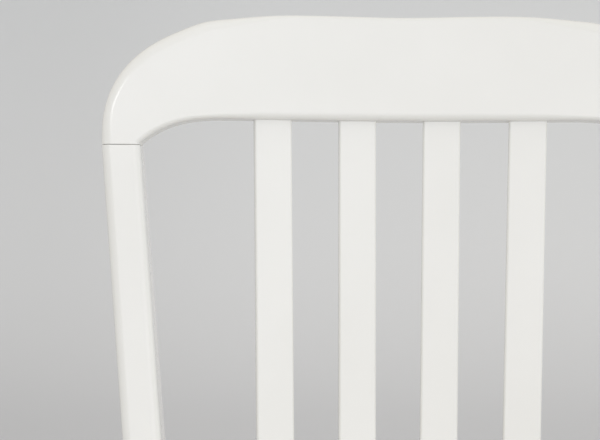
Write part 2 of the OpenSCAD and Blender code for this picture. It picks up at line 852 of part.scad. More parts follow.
module seat_foam() {
    rise = cover_t + board_t;
    color("#efe6c8") skin(concat(
        [pad_ring(pad_rings[2][0] - 2 * foam_share, rise)],
        [for (s = pad_rings)
            if (s[1] - cover_t - seat_gap > rise + foam_least)
                pad_ring(s[0] - foam_share, s[1] - cover_t - seat_gap)]));
}

module seat_board() {
    color(plywood) difference() {
        translate([0, 0, board_z]) linear_extrude(board_t) polygon(pad_plan(board_share));
        seat_screw_bores();
    }
}

dust_t = 0.6;
dust_in = 4;
module seat_dust_cover() {
    near = front_rail_y + rail_t / 2 + dust_in;
    far = rear_rail_y - rail_t / 2 - dust_in;
    near_x = front_leg_in - dust_in;
    far_x = rear_leg_in - dust_in;
    color("#2f2f31") difference() {
        translate([0, 0, frame_h - dust_t]) linear_extrude(dust_t)
            polygon([[-near_x, near], [near_x, near], [far_x, far], [-far_x, far]]);
        seat_screw_bores();
    }
}

// Nail-on glides

glide_d = 20;
glide_edge = 1;
nail_d = 2.4;
nail_l = 16;
nail_head_d = 7;
nail_head_h = 1.2;
nail_head_top = 2.2;

module nail_bore(x, y) {
    translate([x, y, 0]) cylinder(d = nail_d + 2 * fit, h = glide_h + nail_l + end_gap);
}

module glide() {
    difference() {
        union() {
            cylinder(d1 = glide_d - 2 * glide_edge, d2 = glide_d, h = glide_edge);
            translate([0, 0, glide_edge]) cylinder(d = glide_d, h = glide_h - glide_edge);
        }
        nail_bore(0, 0);
        translate([0, 0, -over]) cylinder(d = nail_head_d + 2 * fit, h = nail_head_top + over);
    }
}

module at_front_foot(side) {
    translate([side * front_foot_x, front_foot_y, 0]) children();
}
module at_rear_foot(side) {
    translate([side * leg_x(glide_h), leg_y(glide_h), 0]) children();
}

glide_colour = "#e7e4dc";
module glide_front_left() { color(glide_colour) at_front_foot(-1) glide(); }
module glide_front_right() { color(glide_colour) at_front_foot(1) glide(); }
module glide_rear_left() { color(glide_colour) at_rear_foot(-1) glide(); }
module glide_rear_right() { color(glide_colour) at_rear_foot(1) glide(); }

module nail() {
    translate([0, 0, nail_head_top - nail_head_h]) cylinder(d = nail_head_d, h = nail_head_h);
    translate([0, 0, nail_head_top]) cylinder(d = nail_d, h = nail_l);
}

module glide_nails() {
    color(steel) for (side = [-1, 1]) {
        at_front_foot(side) nail();
        at_rear_foot(side) nail();
    }
}

crest_rail();
rear_leg_left();
rear_leg_right();
slat_1();
slat_2();
slat_3();
slat_4();
lower_back_rail();
crest_dowels();
rear_seat_rail();
front_seat_rail();
side_seat_rail_left();
side_seat_rail_right();
front_leg_left();
front_leg_right();
side_stretcher_left();
side_stretcher_right();
cross_stretcher();
corner_block_front_left();
corner_block_front_right();
corner_block_rear_left();
corner_block_rear_right();
corner_block_screws();
seat_screws();
seat_board();
seat_foam();
seat_cover();
seat_dust_cover();
glide_front_left();
glide_front_right();
glide_rear_left();
glide_rear_right();
glide_nails();
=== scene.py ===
import math

import bmesh
import bpy
import numpy as np
from mathutils import Matrix, Vector


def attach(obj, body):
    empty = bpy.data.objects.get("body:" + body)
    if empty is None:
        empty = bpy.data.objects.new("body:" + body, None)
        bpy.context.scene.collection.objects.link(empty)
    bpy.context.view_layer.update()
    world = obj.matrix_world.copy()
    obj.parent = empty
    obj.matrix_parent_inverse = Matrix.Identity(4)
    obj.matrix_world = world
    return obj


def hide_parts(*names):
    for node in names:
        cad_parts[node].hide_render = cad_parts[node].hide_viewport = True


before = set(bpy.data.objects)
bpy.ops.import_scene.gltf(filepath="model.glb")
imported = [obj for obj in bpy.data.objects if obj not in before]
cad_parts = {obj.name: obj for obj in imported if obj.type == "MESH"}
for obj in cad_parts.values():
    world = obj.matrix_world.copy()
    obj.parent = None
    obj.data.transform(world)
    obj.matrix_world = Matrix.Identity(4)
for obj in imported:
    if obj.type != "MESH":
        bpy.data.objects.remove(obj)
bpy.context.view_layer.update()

# An upholstered dining chair: the look of its pieces, and the room, lamps and camera round it.
# Its sizes are in millimetres, as in its construction

MM = 0.001

OVERALL_H = 912.0
BACK_W = 432.0
RAKE = math.radians(9.5)
FRAME_H = 430.0
REAR_Y = 154.1
FRONT_Y = -237.9

# Crest rail: its shoulders are superellipses from the flat top to the widest place, and its lower
# edge is level as far as the arches, which drop to the joints with the posts
CREST_H = 76.3
CREST_T = 24.0
CREST_ROUND = 3.0
CREST_SAG = 21.0
CREST_FLAT = 47.0
SHOULDER_X = 2.95
SHOULDER_Z = 2.26
WIDEST_V = -13.3
JOINT_DROP = 19.7
ARCH_START = 117.7
ARCH_POWER = 3.34
# Fullness of the top line on each shoulder and its hollow at the middle: height, place, breadth
SHOULDER_SWELL = 1.45
SHOULDER_SWELL_U = 142.5
SHOULDER_SWELL_W = 14.5
TOP_HOLLOW = 0.65
TOP_HOLLOW_W = 34.0
# Reach of the crest rail's roundovers, through its thickness and along its face. The outer one
# grows from the middle to the shoulders, and the inner one shrinks from the arches to the posts
OUTER_ROUND = ((3.0, 3.0), (6.8, 9.0))
OUTER_ROUND_U = (75.0, 150.0)
INNER_ROUND = ((5.0, 6.0), (3.6, 3.6))
INNER_ROUND_U = (125.0, 182.0)

SLATS = 4
SLAT_W = 27.5
SLAT_T = 10.5
SLAT_PITCH = 62.5
SLAT_PITCH_LOW = 59.9
SLAT_ROUND = 1.8
SLAT_IN = 1.5

LOW_RAIL_H = 42.0
LOW_RAIL_T = 20.0
LOW_RAIL_UP = 75.0
LOW_RAIL_FORWARD = 0.2
LOW_RAIL_BEND = 680.0
LOW_RAIL_ROUND = 4.5

# Rear legs: from the top a raked post, an arc, an upright stretch at the seat, an arc, a raked leg
LEG_W = 28.0
LEG_TOP_D = 24.0
LEG_SEAT_D = 34.0
LEG_FOOT_D = 27.0
SPLAY = math.radians(4.46)
LEG_RAKE = math.radians(8.0)
UP_BEND = 390.0
LOW_BEND = 700.0
FOOT_OUT = 6.0
FOOT_OUT_POWER = 1.5
# Reach of a rear leg's roundovers, across it and from front to back
LEG_OUTER_ROUND = (7.4, 6.6)
LEG_INNER_ROUND = (6.0, 3.8)
LEG_REAR_ROUND = (3.2, 3.2)
# How far the upright stretch goes on above and below the seat rails
UPRIGHT_ABOVE = 5.0
UPRIGHT_BELOW = 9.0

FRONT_S = 36.0
FRONT_FOOT_S = 26.0
FRONT_OUT = 214.0
FRONT_ROUND = 4.5
TAPER_Z = 350.0

RAIL_H = 56.0
RAIL_T = 20.0
RAIL_ROUND = 2.5
RAIL_IN = 3.0
REAR_RAIL_BACK = 4.0

STRETCH_Z = 165.0
STRETCH_H = 26.0
STRETCH_T = 18.0
CROSS_T = 16.0
STRETCH_ROUND = 4.0

PAD_H = 43.0
PAD_CROWN = 13.0
COVER_T = 1.2
PAD_OVER = 4.0

GLIDE_H = 4.0
SEAT_GAP = 0.25
# How much more a large face counts than a small one in the shading of its corners
NORMAL_WEIGHT = 60

# Softened arris where a piece ends, and the groove where the crest rail meets a post
ARRIS = 0.4
SLAT_ARRIS = 0.25
BAR_ARRIS = 0.3
GROOVE = 0.34
GROOVE_DEEP = 1.3

# The bend's curve runs on past the rail's ends. The arch ends over the post, above the joint
BEND_PAST = 10.0
ARCH_OVER = 0.5
ARCH_ABOVE = 1.2

BACK_HALF = BACK_W / 2
BEND_HALF = BACK_HALF + BEND_PAST
POST_U = BACK_HALF - LEG_W / 2
ARCH_END = BACK_HALF - LEG_W + ARCH_OVER
ARCH_SCALE = JOINT_DROP - ARCH_ABOVE

SIDES = ((-1, "left"), (1, "right"))


# Geometry of the back, in its own frame: u across, v up the rake, w away from the front

def bend(u):
    """Depth of the crest rail's front face at a distance u from the middle."""
    return -CREST_SAG * math.sin(math.pi / 2 * u / BEND_HALF) ** 2


def bend_angle(u):
    """Slope of the crest rail's bend at u."""
    return math.atan(CREST_SAG * math.pi / (2 * BEND_HALF) * math.sin(math.pi * u / BEND_HALF))


def arch(u):
    """Height of the crest rail's lower edge at u."""
    reach = max(0.0, abs(u) - ARCH_START) / (ARCH_END - ARCH_START)
    return -ARCH_SCALE * reach ** ARCH_POWER


POST_W_MID = CREST_T / 2 + bend(POST_U)
CREST_Z = (OVERALL_H - CREST_ROUND - (CREST_H - CREST_ROUND) * math.cos(RAKE)
           + CREST_ROUND * math.sin(RAKE))
SEAT_TOP_Z = FRAME_H + UPRIGHT_ABOVE
SEAT_LOW_Z = FRAME_H - RAIL_H - UPRIGHT_BELOW
POST_Z = SEAT_TOP_Z + UP_BEND * math.sin(RAKE)
LEG_Z = SEAT_LOW_Z - LOW_BEND * math.sin(LEG_RAKE)
POST_V = (POST_Z - CREST_Z + POST_W_MID * math.sin(RAKE)) / math.cos(RAKE)
BACK_Y = (REAR_Y + UP_BEND * (1 - math.cos(RAKE)) - POST_V * math.sin(RAKE)
          - POST_W_MID * math.cos(RAKE))
POST_X = POST_U - math.tan(SPLAY) * (-JOINT_DROP - POST_V)
SEAT_X = POST_X - math.tan(SPLAY) * (POST_Z - SEAT_TOP_Z) / 2
JOINT_Z = CREST_Z - JOINT_DROP * math.cos(RAKE) - POST_W_MID * math.sin(RAKE)


def on_back(u, v, w):
    """A point of the back's frame as a point of the chair, both in millimetres."""
    return (u, BACK_Y + v * math.sin(RAKE) + w * math.cos(RAKE),
            CREST_Z + v * math.cos(RAKE) - w * math.sin(RAKE))


def leg_lean(z):
    """Backward lean of a rear leg at height z."""
    if z > POST_Z:
        return RAKE
    if z > SEAT_TOP_Z:
        return math.asin((z - SEAT_TOP_Z) / UP_BEND)
    if z > SEAT_LOW_Z:
        return 0.0
    if z > LEG_Z:
        return -math.asin((SEAT_LOW_Z - z) / LOW_BEND)
    return -LEG_RAKE


def leg_y(z):
    """Place of a rear leg's centre line, front to back, at height z."""
    if z > POST_Z:
        return REAR_Y + UP_BEND * (1 - math.cos(RAKE)) + (z - POST_Z) * math.tan(RAKE)
    if z > SEAT_TOP_Z:
        return REAR_Y + UP_BEND * (1 - math.cos(leg_lean(z)))
    if z > SEAT_LOW_Z:
        return REAR_Y
    if z > LEG_Z:
        return REAR_Y + LOW_BEND * (1 - math.cos(leg_lean(z)))
    return REAR_Y + LOW_BEND * (1 - math.cos(LEG_RAKE)) + (LEG_Z - z) * math.tan(LEG_RAKE)


def leg_x(z):
    """Place of a rear leg's centre line, side to side, at height z."""
    if z > POST_Z:
        return POST_X + (POST_U - POST_X) * (z - POST_Z) / (JOINT_Z - POST_Z)
    if z > SEAT_TOP_Z:
        return SEAT_X + (POST_X - SEAT_X) * ((z - SEAT_TOP_Z) / (POST_Z - SEAT_TOP_Z)) ** 2
    if z > SEAT_LOW_Z:
        return SEAT_X
    return SEAT_X + FOOT_OUT * ((SEAT_LOW_Z - z) / SEAT_LOW_Z) ** FOOT_OUT_POWER


def leg_d(z):
    """Depth of a rear leg at height z."""
    if z > FRAME_H:
        return LEG_SEAT_D + (LEG_TOP_D - LEG_SEAT_D) * (z - FRAME_H) / (JOINT_Z - FRAME_H)
    if z > SEAT_LOW_Z:
        return LEG_SEAT_D
    return LEG_FOOT_D + (LEG_SEAT_D - LEG_FOOT_D) * z / SEAT_LOW_Z


def front_side(z):
    """Side of a front leg at height z."""
    return FRONT_S if z > TAPER_Z else FRONT_FOOT_S + (FRONT_S - FRONT_FOOT_S) * z / TAPER_Z


# Mesh helpers

def section(w, d, corners, shrink, steps, edge):
    """Points round a rectangle of w by d with rounded corners, counter-clockwise, as an array.

    corners holds the reach of each corner along w and d, in the order right upper, left upper,
    left lower and right lower. The section is drawn in by shrink on each side. Its corners are cut
    into steps parts each, and its straight sides into edge parts."""
    signs = [(1, 1), (-1, 1), (-1, -1), (1, -1)]
    arcs = []
    for k, ((sx, sy), corner) in enumerate(zip(signs, corners)):
        rw, rd = (reach - shrink for reach in corner)
        arc = []
        for i in range(steps + 1):
            a = math.pi / 2 * (i if k % 2 == 0 else steps - i) / steps
            arc.append((sx * (w / 2 - shrink - rw + rw * math.cos(a)),
                        sy * (d / 2 - shrink - rd + rd * math.sin(a))))
        arcs.append(arc)
    points = []
    for arc, following in zip(arcs, arcs[1:] + arcs[:1]):
        points += arc
        start, end = np.array(arc[-1]), np.array(following[0])
        points += [tuple(start + (end - start) * j / edge) for j in range(1, edge)]
    return np.array(points)


def even(r):
    """Four corners that reach r along both sides of a section."""
    return [(r, r)] * 4


def unit(vector):
    """The vector's direction, of length 1."""
    return vector / np.linalg.norm(vector)


def bridge(bm, low, high):
    """Faces between two closed rows of points, in the rows' order."""
    n = len(low)
    return [bm.faces.new((low[i], low[(i + 1) % n], high[(i + 1) % n], high[i])) for i in range(n)]


def new_object(name, bm):
    """A smooth-shaded object in the scene from a bmesh, which is used up."""
    bmesh.ops.recalc_face_normals(bm, faces=bm.faces)
    for face in bm.faces:
        face.smooth = True
    mesh = bpy.data.meshes.new(name)
    bm.to_mesh(mesh)
    bm.free()
    obj = bpy.data.objects.new(name, mesh)
    bpy.context.scene.collection.objects.link(obj)
    return obj


def solid(name, rings):
    """A closed solid through rings of points in millimetres.

    Its UV map holds the distance along the piece and round it, in metres, for the grain."""
    rings = [np.asarray(r, float) * MM for r in rings]
    n = len(rings[0])
    bm = bmesh.new()
    layer = bm.loops.layers.uv.new("grain")
    along = [0.0]
    for a, b in zip(rings, rings[1:]):
        along.append(along[-1] + float(np.linalg.norm(b.mean(0) - a.mean(0))))
    widest = max(rings, key=lambda r: np.ptp(r, axis=0).sum())
    girth = [0.0]
    for i in range(n):
        girth.append(girth[-1] + float(np.linalg.norm(widest[(i + 1) % n] - widest[i])))
    verts = [[bm.verts.new(p) for p in ring] for ring in rings]
    for k in range(len(rings) - 1):
        for i, face in enumerate(bridge(bm, verts[k], verts[k + 1])):
            spots = ((k, i), (k, i + 1), (k + 1, i + 1), (k + 1, i))
            for loop, (row, column) in zip(face.loops, spots):
                loop[layer].uv = (along[row], girth[column])
    for ring, turn in ((verts[0], -1), (verts[-1], 1)):
        face = bm.faces.new(ring[::turn])
        middle = sum((v.co for v in ring), Vector()) / n
        for loop in face.loops:
            offset = loop.vert.co - middle
            loop[layer].uv = (offset.x + offset.y, offset.z)
    obj = new_object(name, bm)
    obj.modifiers.new("normals", "WEIGHTED_NORMAL").weight = NORMAL_WEIGHT
    return obj


def eased(ring_at, count, first_dir, last_dir, arris=ARRIS, grooved=()):
    """Rings 0 to count - 1 of ring_at(k, shrink), with a rounded arris at each end.

    first_dir and last_dir are the outward directions at the two ends, as unit vectors. An end
    named in grooved stands back by half a groove and touches its neighbour inside it."""
    turns = [math.radians(a) for a in (0, 22, 45, 68, 90)]

    def end_rings(k, outward, groove):
        outward = np.array(outward, float)
        steps = [(arris * (1 - math.cos(a)), arris * (1 - math.sin(a)) + groove * GROOVE / 2)
                 for a in turns]
        if groove:
            steps += [(GROOVE_DEEP, GROOVE / 2), (GROOVE_DEEP, 0.0)]
        return [np.asarray(ring_at(k, inset)) - outward * back for inset, back in steps]

    first = end_rings(0, first_dir, "first" in grooved)[::-1]
    last = end_rings(count - 1, last_dir, "last" in grooved)
    inner = [np.asarray(ring_at(k, 0.0)) for k in range(1, count - 1)]
    return first + inner + last


def finish_piece(obj, nodes, material):
    """Gives a piece its material and lets it stand for its nodes on the chair."""
    obj.data.materials.clear()
    obj.data.materials.append(material)
    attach(obj, "root")
    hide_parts(*nodes)


def lacquer(node, rings):
    """A lacquered piece through rings, in the place of a node."""
    finish_piece(solid(node + "_lacquered", rings), [node], white)


# Node materials: the scale of a texture is in features to the metre, and heights are in metres

def new_material(name):
    """An empty node material and its tree."""
    mat = bpy.data.materials.new(name)
    mat.use_nodes = True
    return mat, mat.node_tree


def feed(tree, node, inputs):
    """Sets each named input of a node to a constant, or links it to another node's output."""
    for key, source in inputs.items():
        if isinstance(source, bpy.types.NodeSocket):
            tree.links.new(source, node.inputs[key])
        else:
            node.inputs[key].default_value = source


def shaded(mat, inputs):
    """The material, with its shader's inputs set or linked."""
    tree = mat.node_tree
    feed(tree, next(n for n in tree.nodes if n.type == "BSDF_PRINCIPLED"), inputs)
    return mat


def add(tree, kind, inputs=None, **settings):
    """A node of a kind with its settings and inputs."""
    node = tree.nodes.new(kind)
    for key, value in settings.items():
        setattr(node, key, value)
    feed(tree, node, inputs or {})
    return node


def place_of(tree):
    """Coordinates on the object, in metres."""
    return add(tree, "ShaderNodeTexCoord").outputs["Object"]


def split_of(tree, vector):
    """The three parts of a vector, by the names of its axes."""
    return add(tree, "ShaderNodeSeparateXYZ", {"Vector": vector}).outputs


def maths(tree, operation, *operands):
    """Result of a maths node."""
    return add(tree, "ShaderNodeMath", dict(enumerate(operands)), operation=operation).outputs[0]


def wave_of(tree, value, half):
    """A sine wave that is 0 at each multiple of half."""
    return maths(tree, "SINE", maths(tree, "MULTIPLY", value, math.pi / half))


def mixed(tree, kind, factor, low, high):
    """Low where the factor is 0, high where it is 1."""
    inputs = {"Factor": factor, "A": low, "B": high}
    return add(tree, "ShaderNodeMix", inputs, data_type=kind).outputs["Result"]


def scaled(tree, vector, factor):
    """A vector or colour times a factor."""
    return add(tree, "ShaderNodeVectorMath", {0: vector, "Scale": factor}, operation="SCALE").outputs[0]


def range_of(tree, value, low, high, first=0.0, last=1.0, kind="LINEAR"):
    """Goes from first to last while value goes from low to high."""
    inputs = {"Value": value, "From Min": low, "From Max": high, "To Min": first, "To Max": last}
    return add(tree, "ShaderNodeMapRange", inputs, interpolation_type=kind).outputs[0]


def noise_of(tree, vector, scale, detail=3.0, rough=0.5, distortion=0.0):
    """A noise between 0 and 1, with one scale or with a scale for each axis."""
    if isinstance(scale, tuple):
        vector = add(tree, "ShaderNodeMapping", {"Vector": vector, "Scale": scale}).outputs["Vector"]
        scale = 1.0
    inputs = {"Vector": vector, "Scale": scale, "Detail": detail, "Roughness": rough,
              "Distortion": distortion}
    return add(tree, "ShaderNodeTexNoise", inputs).outputs["Fac"]


def ramp_of(tree, fac, *stops):
    """A colour ramp with stops of (place, colour)."""
    node = add(tree, "ShaderNodeValToRGB", {"Fac": fac})
    elements = node.color_ramp.elements
    for element, (place, colour) in zip(elements, (stops[0], stops[-1])):
        element.position, element.color = place, (*colour, 1)
    for place, colour in stops[1:-1]:
        elements.new(place).color = (*colour, 1)
    return node.outputs["Color"]


def gloss_of(tree, fac, low, high):
    """Roughness from low to high, over the middle of a noise."""
    return ramp_of(tree, fac, (0.3, (low,) * 3), (0.7, (high,) * 3))


def bump_of(tree, height, distance, normal=None):
    """A normal tilted by a height, where a height of 1 stands for the distance."""
    inputs = {"Height": height, "Distance": distance}
    if normal is not None:
        inputs["Normal"] = normal
    return add(tree, "ShaderNodeBump", inputs).outputs["Normal"]


def lacquer_material():
    """White satin lacquer over close-grained wood: grain just felt, a faint sprayed texture."""
    mat, tree = new_material("white_lacquer")
    place = place_of(tree)
    colour = ramp_of(tree, noise_of(tree, place, 9.0), (0.3, (0.788, 0.786, 0.757)),
                     (0.7, (0.813, 0.811, 0.784)))
    uv = add(tree, "ShaderNodeUVMap", uv_map="grain").outputs["UV"]
    long_grain = noise_of(tree, uv, (14.0, 900.0, 1.0), 4.0, 0.6, 0.3)
    normal = bump_of(tree, noise_of(tree, place, 28.0, 1.0), 0.00012)
    normal = bump_of(tree, long_grain, 0.00002, normal)
    normal = bump_of(tree, noise_of(tree, place, 700.0, 2.0), 0.000006, normal)
    gloss = gloss_of(tree, noise_of(tree, place, 60.0, 4.0, 0.6), 0.18, 0.22)
    return shaded(mat, {"Base Color": colour, "Roughness": gloss, "Normal": normal, "IOR": 1.48})


def beech_material():
    """Raw beech with its grain across the chair, and small flecks."""
    mat, tree = new_material("raw_beech")
    place = place_of(tree)
    grain = noise_of(tree, place, (9.0, 160.0, 160.0), 5.0, 0.65, 0.6)
    fleck = noise_of(tree, place, (60.0, 900.0, 900.0), 2.0)
    colour = ramp_of(tree, grain, (0.3, (0.5, 0.32, 0.17)), (0.52, (0.66, 0.47, 0.29)),
                     (0.75, (0.6138, 0.4371, 0.2697)))
    return shaded(mat, {"Base Color": colour, "Normal": bump_of(tree, fleck, 0.00006), "Roughness": 0.62})


def weave_material():
    """Plain-woven upholstery cloth: warp and weft in relief, slubs, and a soft sheen."""
    mat, tree = new_material("cover_cloth")
    uv = add(tree, "ShaderNodeUVMap", uv_map="cloth").outputs["UV"]
    split = split_of(tree, uv)
    pitch = 0.0011
    over = maths(tree, "MULTIPLY", *(wave_of(tree, split[axis], pitch) for axis in "XY"))
    slub_across = noise_of(tree, uv, (25.0, 1 / pitch, 1.0), 2.0)
    slub_along = noise_of(tree, uv, (1 / pitch, 25.0, 1.0), 2.0)
    slub = mixed(tree, "FLOAT", range_of(tree, over, -0.3, 0.3), slub_across, slub_along)
    colour = ramp_of(tree, slub, (0.25, (0.47, 0.435, 0.38)), (0.5, (0.6, 0.565, 0.5)),
                     (0.75, (0.7, 0.67, 0.61)))
    normal = bump_of(tree, maths(tree, "ABSOLUTE", over), 0.00022)
    normal = bump_of(tree, slub, 0.00012, normal)
    return shaded(mat, {"Base Color": colour, "Normal": normal, "Roughness": 0.88, "Sheen Weight": 0.25,
                        "Sheen Roughness": 0.5, "Specular IOR Level": 0.3})


def plywood_material():
    """Plywood: birch faces with long grain, and edges that show the plies."""
    mat, tree = new_material("plywood")
    place = place_of(tree)
    grain = noise_of(tree, place, (14.0, 180.0, 180.0), 5.0, 0.6, 0.5)
    face = ramp_of(tree, grain, (0.3, (0.52, 0.38, 0.23)), (0.7, (0.7, 0.56, 0.39)))
    ply = 0.0017
    layers = wave_of(tree, split_of(tree, place)["Z"], ply)
    bands = ramp_of(tree, layers, (0.35, (0.33, 0.22, 0.13)), (0.6, (0.66, 0.52, 0.35)))
    normal = add(tree, "ShaderNodeNewGeometry").outputs["True Normal"]
    flat = maths(tree, "ABSOLUTE", split_of(tree, normal)["Z"])
    colour = mixed(tree, "RGBA", range_of(tree, flat, 0.4, 0.6), bands, face)
    return shaded(mat, {"Base Color": colour, "Normal": bump_of(tree, grain, 0.00008), "Roughness": 0.65})


def zinc_material():
    """Zinc-plated steel with a fine spangle."""
    mat, tree = new_material("zinc_steel")
    place = place_of(tree)
    spangle = noise_of(tree, place, 900.0, 2.0)
    colour = ramp_of(tree, spangle, (0.3, (0.52, 0.52, 0.51)), (0.7, (0.68, 0.68, 0.66)))
    gloss = gloss_of(tree, noise_of(tree, place, 400.0), 0.28, 0.42)
    return shaded(mat, {"Base Color": colour, "Roughness": gloss, "Metallic": 1.0,
                        "Normal": bump_of(tree, spangle, 0.00003)})


def glide_material():
    """Hard off-white plastic, scuffed by the floor."""
    mat, tree = new_material("glide_plastic")
    scuff = noise_of(tree, place_of(tree), (500.0, 90.0, 300.0), 4.0, 0.7)
    colour = ramp_of(tree, scuff, (0.35, (0.56, 0.54, 0.48)), (0.6, (0.72, 0.7, 0.64)))
    return shaded(mat, {"Base Color": colour, "Roughness": gloss_of(tree, scuff, 0.55, 0.38),
                        "Normal": bump_of(tree, scuff, 0.00008)})


def felt_material():
    """Black non-woven cloth: pressed fibres with small bonded dots."""
    mat, tree = new_material("dust_cloth")
    place = place_of(tree)
    fibres = noise_of(tree, place, 1400.0, 3.0, 0.7, 1.5)
    dots = add(tree, "ShaderNodeTexVoronoi", {"Vector": place, "Scale": 420.0, "Randomness": 0.15})
    spot = range_of(tree, dots.outputs["Distance"], 0.2, 0.35)
    colour = ramp_of(tree, fibres, (0.3, (0.016, 0.016, 0.017)), (0.7, (0.05, 0.05, 0.052)))
    normal = bump_of(tree, fibres, 0.00006, bump_of(tree, spot, 0.00008))
    return shaded(mat, {"Base Color": colour, "Normal": normal, "Roughness": 0.85})


white = lacquer_material()
cover_cloth = weave_material()
plywood = plywood_material()
zinc = zinc_material()
plastic = glide_material()
dust_cloth = felt_material()
beech = beech_material()


# Crest rail

def top_swell(u):
    """Fullness of the top line at the shoulders, and its slight hollow at the middle."""
    full = SHOULDER_SWELL * math.exp(-((abs(u) - SHOULDER_SWELL_U) / SHOULDER_SWELL_W) ** 2)
    return full - TOP_HOLLOW * math.exp(-(u / TOP_HOLLOW_W) ** 2)


def shoulder(a):
    """Outer and lower point of the crest rail's station at the angle a round a shoulder."""
    outer_u = CREST_FLAT + (BACK_HALF - CREST_FLAT) * max(0.0, math.cos(a)) ** (2 / SHOULDER_X)
    outer_v = WIDEST_V + (CREST_H - WIDEST_V) * math.sin(a) ** (2 / SHOULDER_Z) + top_swell(outer_u)
    inner_u = CREST_FLAT + (ARCH_END - CREST_FLAT) * max(0.0, math.cos(a))
    return np.array([[outer_u, outer_v], [inner_u, arch(inner_u)]])


def crest_stations(steps=64, crowding=1.6, middle=10):
    """Outer and lower points of the crest rail from its left end to its right end.

    Each shoulder has steps parts, at angles that crowd together towards the flat middle, and the
    flat middle has middle parts."""
    half = [np.array([[BACK_HALF, -JOINT_DROP], [ARCH_END, -JOINT_DROP]])]
    for i in range(steps + 1):
        t = i / steps
        half.append(shoulder(math.pi / 2 * (1 - (1 - t) ** crowding)))
    flip = np.array([-1.0, 1.0])
    left = [s * flip for s in half]
    flat = [np.array([[u, CREST_H + top_swell(u)], [u, 0.0]])
            for u in np.linspace(-CREST_FLAT, CREST_FLAT, middle + 1)[1:-1]]
    return left + flat + half[::-1]


def smooth_step(x, low, high):
    """0 below low, 1 above high, and a smooth rise between."""
    t = min(1.0, max(0.0, (x - low) / (high - low)))
    return t * t * (3 - 2 * t)


def crest_corners(u):
    """Reach of the crest rail's roundovers at u, in the order of a section's corners."""
    def between(ends, spread):
        share = smooth_step(abs(u), *spread)
        return [first + (last - first) * share for first, last in zip(*ends)]

    outer = between(OUTER_ROUND, OUTER_ROUND_U)
    return [outer, outer, between(INNER_ROUND, INNER_ROUND_U), (CREST_ROUND, CREST_ROUND)]


def make_crest():
    """The bent crest rail, with its soft roundovers and its end grain down on the posts."""
    stations = crest_stations()

    def ring_at(k, shrink):
        outer, lower = stations[k]
        middle = (outer + lower) / 2
        height = float(np.linalg.norm(outer - lower))
        up = (outer - lower) / height
        ring = []
        for deep, high in section(CREST_T, height, crest_corners(outer[0]), shrink, 10, 5):
            u, v = middle + up * high
            ring.append(on_back(u, v, bend(u) + CREST_T / 2 + deep))
        return ring

    down = np.array([0.0, -math.sin(RAKE), -math.cos(RAKE)])
    lacquer("crest_rail", eased(ring_at, len(stations), down, down, grooved=("first", "last")))


# Rear legs

def make_rear_leg(side, node):
    """A rear leg and post in one piece."""
    ends = (GLIDE_H, LEG_Z, SEAT_LOW_Z, SEAT_TOP_Z, POST_Z, JOINT_Z)
    up = [GLIDE_H]
    for low, high, count in zip(ends, ends[1:], (14, 12, 5, 12, 20)):
        up += list(np.linspace(low, high, count))[1:]
    corners = (LEG_OUTER_ROUND, LEG_REAR_ROUND, LEG_INNER_ROUND, LEG_OUTER_ROUND)

    def ring_at(k, shrink):
        z = up[k]
        lean = 0.0 if k == 0 else leg_lean(z)
        depth = leg_d(z) / math.cos(leg_lean(z) - lean)
        return [(side * (leg_x(z) + x), leg_y(z) + y * math.cos(lean), z - y * math.sin(lean))
                for x, y in section(LEG_W, depth, corners, shrink, 9, 4)]

    top = (0.0, math.sin(RAKE), math.cos(RAKE))
    lacquer(node, eased(ring_at, len(up), (0, 0, -1), top, grooved=("last",)))


# Slats

LOW_RAIL_V = (FRAME_H + LOW_RAIL_UP - CREST_Z) / math.cos(RAKE) + LOW_RAIL_H
LOW_RAIL_W = CREST_T / 2 - LOW_RAIL_FORWARD


def make_slat(i):
    """One slat, from the crest rail's lower face to the lower rail's upper face."""
    share = i - (SLATS - 1) / 2
    top_u, foot_u = share * SLAT_PITCH, share * SLAT_PITCH_LOW
    top = np.array([top_u, 0.0, bend(top_u) + CREST_T / 2])
    foot_w = LOW_RAIL_W - LOW_RAIL_BEND + math.sqrt(LOW_RAIL_BEND ** 2 - foot_u ** 2)
    foot = np.array([foot_u, LOW_RAIL_V, foot_w])
    axis = unit(top - foot)
    turn = bend_angle(top_u)
    across = np.array([math.cos(turn), 0.0, -math.sin(turn)])
    across = unit(across - axis * across.dot(axis))
    deep = np.cross(across, axis)
    if deep[2] < 0:
        deep = -deep
    steps = 14
    start, end = foot - axis * SLAT_IN, top + axis * SLAT_IN

    def ring_at(k, shrink):
        middle = start + (end - start) * k / (steps - 1)
        return [on_back(*(middle + across * x + deep * y))
                for x, y in section(SLAT_W, SLAT_T, even(SLAT_ROUND), shrink, 6, 6)]

    high = np.array([0.0, math.sin(RAKE), math.cos(RAKE)])
    lacquer(f"slat_{i + 1}", eased(ring_at, steps, -high, high, SLAT_ARRIS))


# Lower back rail

def post_face_u(v):
    """Distance of a post's inner face from the middle at v."""
    return POST_U - math.tan(SPLAY) * (-JOINT_DROP - v) - LEG_W / 2


def make_lower_rail():
    """The bent lower rail of the back."""
    steps = 40
    mid_v = LOW_RAIL_V - LOW_RAIL_H / 2

    def ring_at(k, shrink):
        share = -1 + 2 * k / (steps - 1)
        ring = []
        for deep, high in section(LOW_RAIL_T, LOW_RAIL_H, even(LOW_RAIL_ROUND), shrink, 7, 4):
            v = mid_v + high
            u = share * (post_face_u(v) - SEAT_GAP)
            w = LOW_RAIL_W - LOW_RAIL_BEND + math.sqrt((LOW_RAIL_BEND + deep) ** 2 - u ** 2)
            ring.append(on_back(u, v, w))
        return ring

    lacquer("lower_back_rail", eased(ring_at, steps, (-1, 0, 0), (1, 0, 0), BAR_ARRIS))


# Front legs

FRONT_FACE_Y = FRONT_Y - FRONT_S / 2


